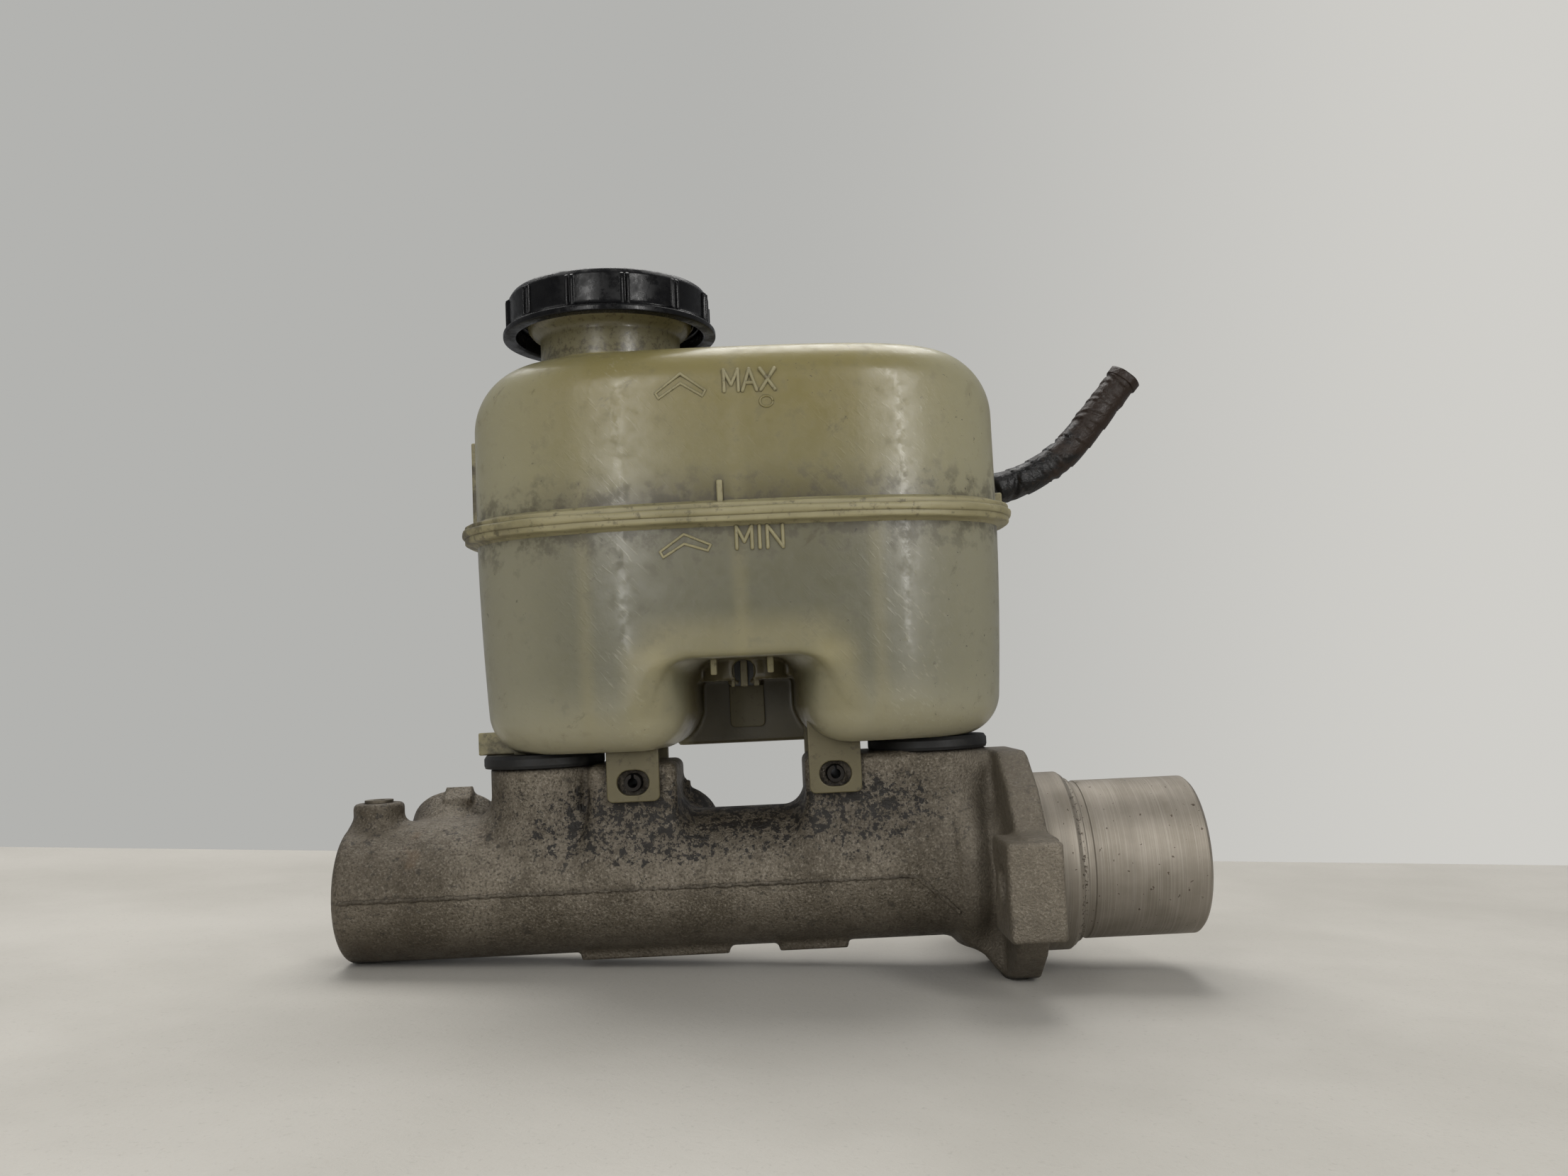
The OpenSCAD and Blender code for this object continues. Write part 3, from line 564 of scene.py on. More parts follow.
def cast_metal():
    """Sand-cast grey-brown metal, stained and speckled black along the top of the barrel."""
    m = Paint("cast_metal", specular_ior_level=0.3)
    grain, coarse, blotch = m.noise(0.7, 3, 0.65), m.noise(3.2, 4, 0.6), m.noise(24, 4, 0.6)
    x, z = m.axis("X"), m.axis("Z")
    m.cover((0.100, 0.083, 0.058), (0.175, 0.150, 0.113), blotch.fade(0.35, 0.65))
    m.stain((0.34, 0.305, 0.25), grain.fade(0.52, 0.68) * 0.50)
    m.stain((0.028, 0.022, 0.015), grain.fade(0.47, 0.34) * 0.70)
    m.stain((0.055, 0.044, 0.030), coarse.fade(0.50, 0.70) * 0.45)
    # Brake fluid and road dirt gather along the top of the barrel, most of all between the towers
    top = (z + (blotch - 0.5) * 26).fade(2, 19) * z.fade(34, 24)
    oil = top * (x.between(-146, -30, 16) * 0.78 + 0.22)
    m.stain((0.045, 0.036, 0.026), oil * 0.40)
    m.stain((0.060, 0.046, 0.030), x.fade(-165, -198) * 0.35)
    spots = None
    for size, low in ((1.0, 0.60), (2.4, 0.585), (5.0, 0.60)):
        here = (m.noise(size, 5, 0.66) + oil * 0.10).fade(low + 0.04, low + 0.065)
        spots = m.math("MAXIMUM", spots, here) if spots else here
    spots = m.math("MINIMUM", spots * (oil + 0.45), 0.96)
    m.stain((0.010, 0.008, 0.006), spots)
    # Dark joint of the mould, the cleaner flange, the shaded underside and some rust at the closed end
    joint = z.between(-0.6, 0.4, 0.4) * x.fade(-33, -38)
    m.stain((0.020, 0.015, 0.010), joint * (coarse * 0.7 + 0.10))
    m.stain((0.24, 0.21, 0.165), x.fade(-34, -12) * 0.35)
    m.stain((0.045, 0.036, 0.024), z.fade(-4, -19) * 0.50)
    m.stain((0.12, 0.065, 0.028), m.noise(16, 3).fade(0.60, 0.70) * x.fade(-150, -190) * 0.30)
    # Painted shade in corners and gaps
    m.stain((0.015, 0.012, 0.009), m.corners(2.5) * 0.85)
    m.set(metallic=0.28 - spots * 0.26, roughness=coarse.fade(0.3, 0.7) * 0.22 + 0.40)
    m.bump(coarse, 0.40, 0.7)
    m.bump(grain, 0.45)
    return m.material


def turned_metal():
    """Lathe-turned aluminium, lines round the bore axis, small rust stains."""
    m = Paint("turned_metal", metallic=0.6)
    lines = m.noise(0.35, 2, 0.6, m.stretched((1, 0.01, 0.01)))
    bands = m.noise(5.0, 2, 0.6, m.stretched((1, 0.03, 0.03)))
    m.cover((0.200, 0.176, 0.140), (0.262, 0.234, 0.194), m.noise(12, 4).fade(0.3, 0.7))
    m.stain((0.38, 0.355, 0.31), lines.fade(0.45, 0.7) * 0.35)
    m.stain((0.16, 0.142, 0.115), bands.fade(0.5, 0.7) * 0.25)
    m.stain((0.05, 0.032, 0.02), m.noise(1.5, 2, 0.5).fade(0.69, 0.73) * 0.8)
    step = m.axis("X").between(COLLAR_L - 0.9, COLLAR_L + 1.2, 0.5)
    m.stain((0.04, 0.026, 0.016), step * m.noise(0.9, 3, 0.6).fade(0.55, 0.62) * 0.9)
    # Painted shade in corners and gaps
    m.stain((0.05, 0.04, 0.03), m.corners(1.2) * 0.8)
    m.set(roughness=bands * 0.14 + 0.50)
    m.bump(lines, 0.06, 0.9)
    return m.material


def reservoir_plastic(name, upper):
    """Waxy half-clear plastic, yellowed at the top and grey-green where the fluid stood, with painted light on
    its top, ends and sumps and over the pocket, and painted shade in its corners and deep in the pocket.
    """
    m = Paint(name, specular_ior_level=0.36, coat_weight=0.14, subsurface_weight=0.25,
              subsurface_radius=(1.0, 0.9, 0.5), subsurface_scale=4 * MM)
    x, y, z = m.axis("X"), m.axis("Y"), m.axis("Z")
    cloud, fine = m.noise(38, 4, 0.55), m.noise(5, 5, 0.62)
    if upper:
        m.cover((0.215, 0.190, 0.088), (0.225, 0.190, 0.072), (z + cloud * 20).fade(128, 160))
        # Painted light on the top, lighter and yellower
        m.stain((0.29, 0.255, 0.115), z.fade(148, 160) * 0.5)
        m.stain((0.112, 0.097, 0.050), (z + cloud * 14).fade(132, 116) * 0.9)
    else:
        # Lighter low down, painted light on the sumps; grey-green higher up, where the fluid stood
        m.cover((0.285, 0.265, 0.175), (0.148, 0.142, 0.092), (z + cloud * 14).fade(50, 72))
        m.stain((0.180, 0.166, 0.108), z.fade(84, 106) * 0.5)
    # The ends catch light through the wall
    ends = x.fade(RES_X - 38, RES_X - 74) + x.fade(RES_X + 38, RES_X + 74)
    m.stain((0.350, 0.332, 0.228) if upper else (0.300, 0.286, 0.205), ends * 0.75)
    # Inner ribs show lighter and yellower through the wall
    for rib_x in INNER_RIBS + (RES_X,):
        m.stain((0.27, 0.24, 0.125), (x + fine * 2).between(rib_x - 0.5, rib_x + 3.5, 2.0) * 0.35)
    if not upper:
        # Painted light: the rounding over the pocket and its sides glow lighter and yellower, as if lit through
        # the wall
        arch = z.between(64, 77, 5) * x.between(-112, -56, 7)
        legs = z.fade(74, 66) * (x.between(-118, -106, 4) + x.between(-62, -51, 4))
        m.stain((0.315, 0.280, 0.155), (arch + legs) * 0.55)
        # Painted light, lighter towards the bottom
        m.stain((0.38, 0.352, 0.240), z.fade(53, 43) * 0.6)
        # Deep inside, the pocket gets painted shade, a dark brown
        deep = y.fade(-34, -16) * y.fade(40, 30) * x.between(-104, -63, 3) * z.fade(70, 65)
        m.stain((0.058, 0.045, 0.018), deep * 0.85)
    # Fine scratches lightened into painted highlight streaks, grime along the weld, smears and specks of dirt
    scratch_and_sheen = m.noise(0.9, 2, 0.55, m.stretched((1, 1, 0.16), 0.75)).fade(0.58, 0.70)
    m.stain((0.50, 0.48, 0.37), scratch_and_sheen * (x.between(-124, -112, 4) + x.between(-44, -24, 5)) * 0.18)
    seam = m.math("ABSOLUTE", z - SEAM_Z).fade(17, 3)
    m.stain((0.045, 0.036, 0.020), (fine + seam * 0.13).fade(0.54, 0.72) * (seam * 0.40 + 0.18))
    smears = m.noise(7, 5, 0.7, m.stretched((1, 1, 0.45), -0.9)).fade(0.63, 0.72)
    m.stain((0.070, 0.056, 0.032), smears * 0.35)
    crowd = x.fade(-40, -10) * 0.7 + (cloud + fine).fade(1.0, 1.2) * 0.6 + 0.10
    m.stain((0.035, 0.028, 0.02), m.noise(1.5, 3, 0.55, warp=0.5).fade(0.69, 0.72) * crowd)
    if upper:
        neck = z.fade(160.5, 161.5)
        grime = (m.noise(1.8, 5, 0.75) + z.fade(167, 161) * 0.08).fade(0.50, 0.66)
        m.stain((0.155, 0.138, 0.078), neck * 0.8)
        m.stain((0.035, 0.028, 0.016), neck * grime * 0.6)
    # Painted shade in corners and gaps
    m.stain((0.045, 0.034, 0.018), m.corners(2.0) * 0.7)
    m.set(roughness=fine.fade(0.3, 0.8) * 0.22 + 0.30)
    m.set(coat_roughness=m.noise(2.5, 4, 0.7).fade(0.4, 0.7) * 0.25 + 0.10)
    m.bump(m.noise(18, 3), 0.5, 0.6)
    m.bump(scratch_and_sheen, 0.02, 0.6)
    m.bump(m.noise(1.1, 3, 0.6), 0.05, 0.6)
    return m.material


def weld_plastic(name, stain):
    """The less handled plastic of the welded seam, ribs and tabs; stain runs from 0 for clean to 1."""
    m = Paint(name, specular_ior_level=0.35, roughness=0.5, subsurface_weight=0.15,
              subsurface_radius=(1.0, 0.9, 0.5), subsurface_scale=2 * MM)
    m.cover((0.26, 0.232, 0.125), (0.34, 0.305, 0.175), m.noise(20, 3).fade(0.35, 0.65))
    m.stain((0.070, 0.056, 0.024), stain)
    m.stain((0.050, 0.040, 0.022), m.noise(3, 5, 0.7).fade(0.54, 0.68) * 0.55)
    left = m.axis("X").fade(-140, -165) * m.noise(5, 4, 0.6).fade(0.4, 0.6)
    m.stain((0.035, 0.025, 0.014), left * 0.7)
    # Painted shade in corners and gaps
    m.stain((0.030, 0.022, 0.012), m.corners(1.8) * 0.7)
    m.bump(m.noise(1.6, 4, 0.6), 0.12, 0.5)
    return m.material


def black_plastic():
    """Semi-gloss black cap plastic with dust in its corners."""
    m = Paint("black_plastic", specular_ior_level=0.20)
    dust = m.noise(2.2, 5, 0.7).fade(0.56, 0.70) * (m.axis("Z").fade(177, 171) * 0.25 + 0.10)
    m.cover((0.0025, 0.0025, 0.003), (0.024, 0.022, 0.019), dust)
    m.set(roughness=m.noise(4, 5, 0.65).fade(0.35, 0.7) * 0.30 + 0.18)
    m.bump(m.noise(0.8, 3, 0.6), 0.05, 0.7)
    m.bump(m.noise(7, 2), 0.15, 0.5)
    return m.material


def rubber():
    m = Paint("rubber", specular_ior_level=0.3)
    dust = m.noise(3, 5, 0.7).fade(0.5, 0.75)
    m.cover((0.008, 0.008, 0.008), (0.05, 0.045, 0.037), dust * 0.30)
    m.set(roughness=dust * 0.25 + 0.5)
    m.bump(m.noise(0.7, 3, 0.6), 0.06, 0.6)
    return m.material


def cloth_tape():
    """Black harness tape, creased and glossy, browned towards its free end."""
    m = Paint("cloth_tape", specular_ior_level=0.25)
    cloud = m.noise(7, 4, 0.6)
    brown = m.axis("X").fade(5, 60) + (cloud * 2.4 - 1.2)
    m.cover((0.0045, 0.004, 0.004), (0.022, 0.012, 0.007), brown.fade(0.25, 0.75))
    m.stain((0.040, 0.028, 0.019), m.noise(2.0, 4, 0.6).fade(0.56, 0.68) * 0.4)
    # Painted shade in creases and corners
    m.stain((0.004, 0.004, 0.004), m.corners(1.5) * 0.6)
    m.set(roughness=cloud.fade(0.3, 0.7) * 0.28 + 0.28)
    m.bump(m.noise(2.2, 3, 0.6, warp=1.2), 0.5, 0.7)
    m.bump(m.noise(0.5, 2, 0.6), 0.05, 0.6)
    return m.material


def metal(name, colour, roughness, wear=(0.05, 0.035, 0.02), amount=0.3):
    """Plain machined or plated metal with a little staining."""
    m = Paint(name, metallic=0.85)
    m.round_edges(0.25)
    cloud = m.noise(4, 4, 0.6)
    m.cover(colour, tuple(c * 0.78 for c in colour), m.noise(9, 3).fade(0.3, 0.7))
    m.stain(wear, cloud.fade(0.52, 0.72) * amount)
    m.set(roughness=cloud * 0.15 + roughness)
    m.bump(m.noise(0.6, 3, 0.6), 0.03, 0.6)
    return m.material


def moulded(name, colour, roughness, amount=0.4):
    """Plain moulded plastic, foam or glass with dirt in its texture."""
    m = Paint(name, specular_ior_level=0.4)
    m.round_edges(0.3)
    cloud = m.noise(3.5, 5, 0.65)
    m.cover(colour, (0.05, 0.045, 0.035), cloud.fade(0.5, 0.72) * amount)
    m.set(roughness=cloud * 0.15 + roughness)
    m.bump(m.noise(0.8, 3, 0.6), 0.05, 0.6)
    return m.material


CAST = cast_metal()
TURNED = turned_metal()
UPPER_PLASTIC = reservoir_plastic("upper_plastic", True)
LOWER_PLASTIC = reservoir_plastic("lower_plastic", False)
WELD_PLASTIC = weld_plastic("weld_plastic", 0.0)
STAINED_PLASTIC = weld_plastic("stained_plastic", 0.75)
BLACK_PLASTIC = black_plastic()
RUBBER = rubber()
TAPE = cloth_tape()
PIN_STEEL = metal("pin_steel", (0.018, 0.016, 0.014), 0.42, (0.008, 0.006, 0.005), 0.6)
PLUG_STEEL = metal("plug_steel", (0.13, 0.112, 0.085), 0.5, (0.03, 0.022, 0.015), 0.6)
BRIGHT_STEEL = metal("bright_steel", (0.46, 0.455, 0.44), 0.28, amount=0.12)
SPRING_STEEL = metal("spring_steel", (0.36, 0.38, 0.41), 0.3, amount=0.15)
DARK_STEEL = metal("dark_steel", (0.07, 0.07, 0.074), 0.4, amount=0.25)
PISTON_METAL = metal("piston_metal", (0.50, 0.47, 0.41), 0.3, amount=0.10)
BRASS = metal("brass", (0.55, 0.36, 0.12), 0.32, (0.10, 0.07, 0.03))
FOAM = moulded("float_foam", (0.62, 0.57, 0.40), 0.55, 0.15)
MAGNET = moulded("magnet", (0.06, 0.06, 0.065), 0.4, 0.2)
GLASS = moulded("reed_glass", (0.34, 0.42, 0.34), 0.12, 0.1)
SENSOR_PLASTIC = moulded("sensor_plastic", (0.016, 0.016, 0.014), 0.38)
PLUG_PLASTIC = moulded("plug_plastic", (0.05, 0.05, 0.051), 0.42)
WIRE = moulded("wire", (0.05, 0.03, 0.10), 0.4, 0.3)


# ---- Casting ----

FLANGE_HALF = [(14, 35), (17.5, 33.8), (30, 25), (40, EAR_TOP + 0.4), (52, EAR_TOP), (52, EAR_BOTTOM),
               (38, EAR_BOTTOM), (30, -23.5), (19, LOBE_BOTTOM + 1.1), (14, LOBE_BOTTOM)]
FLANGE = FLANGE_HALF + [(-y, z) for y, z in reversed(FLANGE_HALF)]
# The barrel swells into a bead and then into the flange
SWELL_X = [BODY_LO[0], -26, -24, -22, -20, -17.8, -15.8, -13.5, -9, 0]
SWELL_R = [BARREL_R, BARREL_R, 21.6, 23.4, 24.1, 24.1, 23.2, 21.9, 22.5, 27.0]


def port_axis(p, port):
    """Distance along an outlet port's axis, distance above it and distance from it."""
    x, tilt = port
    along = p[1] * math.cos(tilt) + p[2] * math.sin(tilt)
    above = p[2] * math.cos(tilt) - p[1] * math.sin(tilt)
    return along, above, np.hypot(p[0] - x, above)


def lugs(p):
    """Towers and the lugs for the retaining pins."""
    front_pin, rear_pin = PINS_X
    front_tower, rear_tower = TOWERS_X
    d = bar(p, Z, 0, TOWER_TOP, TOWER_R, (front_tower, 0), 0.8)
    front = block(p, (front_pin - 14, -LUG_Y, 0), (front_pin + 12.8, LUG_Y, TOWER_TOP), 2.6)
    rear = block(p, (rear_pin - 9, -LUG_Y, 0), (rear_tower - 6, LUG_Y, TOWER_TOP), 2.6)
    d = round_min(d, front, 3.5)
    return np.minimum(d, round_min(bar(p, Z, 0, TOWER_TOP, TOWER_R, (rear_tower, 0), 0.8), rear, 3.5))


def flange(p):
    """Flange plate with its ears and the lower lobe carried by a web."""
    x, y, z = p
    d = round_max(outline(y, z, FLANGE), span(x, -FLANGE_T, 0), 1.3)
    for side in (-1, 1):
        inner, outer = sorted((side * 35.0, side * EAR_Y))
        ear = block(p, (-EAR_T, inner, EAR_BOTTOM), (0, outer, EAR_TOP), 1.2)
        d = round_min(d, ear, 2.0)
    web = [(-24, -12), (-20, -22.5), (-15.5, -25.5), (-12, -30), (-8.5, LOBE_BOTTOM), (-4, LOBE_BOTTOM),
           (-4, -12)]
    return round_min(d, round_max(outline(x, z, web), np.abs(y) - 14, 2.0), 2.5)


def casting_form(p):
    """Outside of the casting, with every joint filleted."""
    x, y, z = p
    radial = (np.hypot(y, z) - np.interp(x, SWELL_X, SWELL_R)) * 0.9
    d = round_max(radial, span(x, BODY_LO[0], 0), 3.0)
    d = round_min(d, lugs(p), 6.5)
    d = round_min(d, block(p, (TOWERS_X[1], -9, 0), (-3, 9, 33), 2.5), 6.0)
    d = round_min(d, flange(p), 3.2)
    d = round_min(d, bar(p, Z, 0, BLEED_TOP, 7.6, (BLEED_X, 0), 1.5), 2.5)
    for port in PORTS:
        along, above, off = port_axis(p, port)
        boss = round_max(off - PORT_BOSS_R, span(along, 0, PORT_FACE - 1), 2.2)
        step = round_max(off - PORT_RIM_R, span(along, 0, PORT_FACE), 0.4)
        # A small cast pad stands on the rim of the boss
        pad = np.maximum(span(x, port[0] - 2.2, port[0] + 6.6), span(along, 22.5, 28.5))
        boss = round_min(boss, np.maximum(pad, span(above, 0, PORT_BOSS_R + 0.7)), 0.8)
        d = round_min(d, np.minimum(boss, step), 1.6)
    for x0, x1 in ((-137, -92), (-77, -56)):
        d = round_min(d, block(p, (x0, -8, -22.4), (x1, 8, -17), 0.8), 1.5)
    return d


def casting(p):
    x = p[0]
    d = np.maximum(casting_form(p), x)
    d = cut(d, bar(p, X, BORE_END, 9, BORE_R + 0.35, (0, 0)))
    for tower_x in TOWERS_X:
        d = cut(d, bar(p, Z, 20.2, 60, 12.9, (tower_x, 0)), 1.2)
    for port in PORTS:
        along, _, off = port_axis(p, port)
        d = cut(d, np.maximum(off - 6, 21 - along), 0.8)
        d = cut(d, np.maximum(off - 4.8, 18.6 - along), 0.2)
    for side in (-1, 1):
        d = cut(d, bar(p, X, -30, 9, BOLT_R, (side * BOLT_Y, 0)), 0.5)
        d = cut(d, bar(p, X, -30, 0.7 - EAR_T, 9.0, (side * BOLT_Y, 0)), 0.3)
    for pin_x in PINS_X:
        d = cut(d, bar(p, Y, -40, 40, 2.6, (pin_x, PIN_Z), 0.3), 0.4)
    return cut(d, bar(p, Z, 19, 60, 4.1, (BLEED_X, 0)), 0.4)


def build_casting():
    body = solid("casting", casting, BODY_LO - 1, (0.5, EAR_Y + 1, 38), 0.8)
    put(body, CAST, "cylinder_body")
    # Turned collar and spigot, with the groove for the snap ring inside
    profile = rounded([
        (BORE_R, -2), (BORE_R, GROOVE_X), (BORE_R + 1.5, GROOVE_X), (BORE_R + 1.5, GROOVE_X + 1.7),
        (BORE_R, GROOVE_X + 1.7), (BORE_R, SPIGOT_END - 1.5), (BORE_R + 1.5, SPIGOT_END),
        (SPIGOT_R - 1.0, SPIGOT_END), (SPIGOT_R, SPIGOT_END - 1.0), (SPIGOT_R, COLLAR_L + 4.2),
        (SPIGOT_R - 0.35, COLLAR_L + 3.9), (SPIGOT_R - 0.35, COLLAR_L + 2.0), (SPIGOT_R + 0.9, COLLAR_L + 1.6),
        (SPIGOT_R + 0.9, COLLAR_L), (COLLAR_R - 1.0, COLLAR_L), (COLLAR_R, COLLAR_L - 1.4), (COLLAR_R, -2),
    ], 0.18, 3)
    put(soften(lathe("spigot", profile, X, turns=160), 0.05, 1, 40), TURNED)
    parting_line()


def parting_line():
    """Flash left along the mould's joint: along the barrel's sides, then down under the bead to the lobe."""
    rng = np.random.default_rng(4)
    for side in (-1, 1):
        straight = [(x, 0.0) for x in np.arange(BODY_LO[0] + 3.5, -36, 1.0)]
        fall = [(-36 + 12.6 * t, -11 * t) for t in np.linspace(0, 1, 14)]
        path = []
        for x, z in straight + fall:
            r = np.interp(x, SWELL_X, SWELL_R) - 0.12
            wobble = 0.25 * math.sin(x * 0.9) + 0.18 * math.sin(x * 2.3 + 1)
            path.append((x, side * math.sqrt(r * r - z * z), z + wobble * 0.5))
        width = 0.50 + 0.35 * rng.random(len(path))
        ridge = tube(f"parting_line_{'front' if side < 0 else 'back'}", path, width, 8, True)
        put(ridge, CAST)


# ---- Reservoir ----


def plan_distance(x, y, a, b):
    """Distance from the reservoir's rounded plan, and how much the surface there faces along X."""
    u = np.maximum(np.abs(x - RES_X) / a, 1e-4)
    v = np.maximum(np.abs(y) / b, 1e-4)
    f = (u**RES_POWER + v**RES_POWER) ** (1 / RES_POWER)
    du = (u / f) ** (RES_POWER - 1) / a
    dv = (v / f) ** (RES_POWER - 1) / b
    size = np.hypot(du, dv)
    return (f - 1) / size, (du / size) ** 2


def plan_point(angle, out):
    """Point on the plan's edge at an angle, moved out from it, with the way it faces."""
    c, s = np.cos(angle), np.sin(angle)
    x = RES_A * np.sign(c) * np.abs(c) ** (2 / RES_POWER)
    y = RES_B * np.sign(s) * np.abs(s) ** (2 / RES_POWER)
    nx = np.sign(c) * np.abs(x / RES_A) ** (RES_POWER - 1) / RES_A
    ny = np.sign(s) * np.abs(y / RES_B) ** (RES_POWER - 1) / RES_B
    size = np.hypot(nx, ny)
    return RES_X + x + out * nx / size, y + out * ny / size


def front_y(x, out=0.0):
    """Y of the reservoir's front wall at x."""
    return -RES_B * (1 - np.abs((x - RES_X) / RES_A) ** RES_POWER) ** (1 / RES_POWER) - out


def neck_form(p, thickness):
    """Filler neck, thickness inside its outer face."""
    radius = np.interp(p[2], [169.8, 170.8, 171.9, 173.2, 174], [NECK_ROOT_R, 22.9, 24.6, 25.7, NECK_R])
    return (np.hypot(p[0] - NECK_X, p[1]) - radius + thickness) * 0.85


def upper_form(p):
    x, y, z = p
    side, lengthwise = plan_distance(x, y, RES_A, RES_B)
    return round_max(side, z - RES_TOP, 14 + 7 * lengthwise)


def upper_shell(p):
    z = p[2]
    form = upper_form(p)
    neck = round_max(neck_form(p, 0), span(z, 150, NECK_TOP), 0.6)
    d = round_min(form, neck, 0.6)
    hollow = np.minimum(form + WALL, np.maximum(neck_form(p, 2.8), 150 - z))
    for rib_x in INNER_RIBS:
        rib = block(p, (rib_x, -RES_B - 5, SEAM_Z + 6), (rib_x + 1.8, -RES_B + 9, 166), 0.5)
        hollow = np.maximum(hollow, -rib)
    d = np.maximum(d, -hollow)
    return np.maximum(d, SEAM_Z + 0.05 - z)


def lower_form(p):
    """Outside of the lower half: it draws in towards its floor, and a pocket parts the two sumps."""
    x, y, z = p
    drop = np.clip((108.9 - z) / 57.6, 0, 1.3)
    draft = 2.4 * drop**1.7
    side, _ = plan_distance(x, y, RES_A - draft, RES_B - 0.5 * draft)
    d = round_max(side, RES_BOTTOM - z, 12.0)
    # Crisp under the roof, widely rounded down the sides and at the sumps' lower corners
    edge = np.interp(z, [50, 57, 63, POCKET_TOP], [12.5, 8.0, 5.0, 2.2])
    d = round_max(d, -pocket(p), edge)
    # The wall behind the pocket reaches down to the sumps' floor
    return np.minimum(d, block(p, (RES_X - 23, 22, RES_BOTTOM - 0.5), (RES_X + 21, 27, 62), 0.8))


def pocket(p):
    """Open pocket between the sumps. Its front flares, and its roof steps down behind a ledge."""
    x, y, z = p
    left, right = POCKET_X
    flare = 7.5 * np.clip((-11 - y) / 23, 0, 1) ** 2
    sides = np.maximum(left - flare - x, x - right - flare) * 0.88
    front = round_max(sides, np.maximum(z - POCKET_TOP, y + 8), 7.0)
    deep = round_max(span(x, left, right), np.maximum(z - 61, y - 24), 2.5)
    return np.minimum(front, np.maximum(deep, -25 - y))


def sensor_socket(p):
    return block(p, (RES_X - 4.9, -10, SENSOR_Z - 4.3), (RES_X + 4.9, 30, SENSOR_Z + 4.3), 0.8)


def lower_shell(p):
    x, y, z = p
    form = lower_form(p)
    d = round_min(form, sensor_socket(p), 0.8)
    d = np.minimum(d, np.maximum(np.hypot(x - RES_X, y) - 16.4, span(z, 60, 102)))
    for tower_x in TOWERS_X:
        d = np.minimum(d, bar(p, Z, 24, 44, 9.45, (tower_x, 0)))
    hollow = form + WALL
    hollow = np.maximum(hollow, -sensor_socket(p))
    guide = np.maximum(np.abs(np.hypot(x - RES_X, y) - 15.5) - 0.9, span(z, 58, 102))
    slot = np.minimum(np.abs(x - RES_X), np.abs(y)) - 4
    guide = np.maximum(guide, -np.maximum(slot, 70 - z))
    hollow = np.maximum(hollow, -guide)
    for rib_x in INNER_RIBS:
        hollow = np.maximum(hollow, -block(p, (rib_x, -RES_B - 5, 42), (rib_x + 1.8, -RES_B + 9, 105.9), 0.5))
    d = np.maximum(d, -hollow)
    for tower_x in TOWERS_X:
        d = cut(d, bar(p, Z, 10, 60, 6.5, (tower_x, 0)), 0.4)
    d = cut(d, bar(p, Y, -20, 60, 3.4, (RES_X, SENSOR_Z), 0.3), 0.2)
    return np.maximum(d, z - SEAM_Z + 0.05)


def seam_ring(name, profile):
    """Flange round the reservoir's plan from (out, z) points, with the slight waver of a hot-plate weld."""
    turns = 360
    angles = (np.arange(turns) + 0.5) * 2 * math.pi / turns
    rings = []
    for out, z in profile:
        waver = 0.10 * np.sin(angles * 9 + z) + 0.07 * np.sin(angles * 23 + 2 * z)
        x, y = plan_point(angles, out + (waver if out > 1 else 0))
        rings.append(np.stack([x, y, np.full(turns, z) + (waver * 0.6 if out > 1 else 0)], 1))
    put(rings_object(name, rings), WELD_PLASTIC)


LETTERS = {
    "M": [[(0, 0), (0, 1), (0.5, 0.3), (1, 1), (1, 0)]],
    "A": [[(0, 0), (0.5, 1), (1, 0)], [(0.2, 0.36), (0.8, 0.36)]],
    "X": [[(0, 0), (1, 1)], [(0, 1), (1, 0)]],
    "I": [[(0.5, 0), (0.5, 1)]],
    "N": [[(0, 0), (0, 1), (1, 0), (1, 1)]],
}


def on_front(points, out=0.0, step=0.6):
    """A line of (x, z) points laid on the reservoir's front wall."""
    path = []
    for (x0, z0), (x1, z1) in zip(points, points[1:]):
        count = max(int(math.hypot(x1 - x0, z1 - z0) / step), 1)
        path += [(x0 + (x1 - x0) * i / count, z0 + (z1 - z0) * i / count) for i in range(count)]
    path.append(points[-1])
    return [(x, float(front_y(x, out)), z) for x, z in path]


def raised_line(name, points, radius, closed=False):
    """Raised stroke on the front wall, one bar for each straight piece."""
    for i, pair in enumerate(zip(points, points[1:] + (points[:1] if closed else []))):
        put(tube(f"{name}_{i + 1}", on_front(pair), radius, 8, True), WELD_PLASTIC)


def level_mark(name, word, x0, x1, z0, z1, chevron):
    """A generic level mark: an open chevron and its word."""
    widths = [0.45 if c == "I" else 1.0 for c in word]
    gap = 0.28
    unit = (x1 - x0) / (sum(widths) + gap * (len(word) - 1))
    at = x0
    for letter, width in zip(word, widths):
        for i, stroke in enumerate(LETTERS[letter]):
            line = [(at + u * width * unit, z0 + v * (z1 - z0)) for u, v in stroke]
            raised_line(f"{name}_{letter}{i + 1}", line, 0.6)
        at += (width + gap) * unit
    (lx, lz), (px, pz), (rx, rz) = chevron
    band = [(lx, lz), (px, pz), (rx, rz), (rx - 0.9, rz - 1.6), (px, pz - 2.8), (lx + 0.9, lz - 1.6)]
    raised_line(f"{name}_chevron", band, 0.42, closed=True)


def pin_tab(name, x, side):
    """Tab that drops from a sump over the end of a retaining pin."""
    half, bottom, top = 7.8, 25.3, 48.0
    round_r = 1.8
    sheet = [(x + half, top), (x - half, top)]
    sheet += arc((x - half + round_r, bottom + round_r), round_r, 180, 270, 5)
    sheet += arc((x + half - round_r, bottom + round_r), round_r, 270, 360, 5)
    hole = arc((x + 1.1, PIN_Z), 3.7, 90, -90, 12) + arc((x - 1.1, PIN_Z), 3.7, -90, -270, 12)
    put(plate(name, [sheet, hole], 2.4, 0.35, side * 18.8), STAINED_PLASTIC)


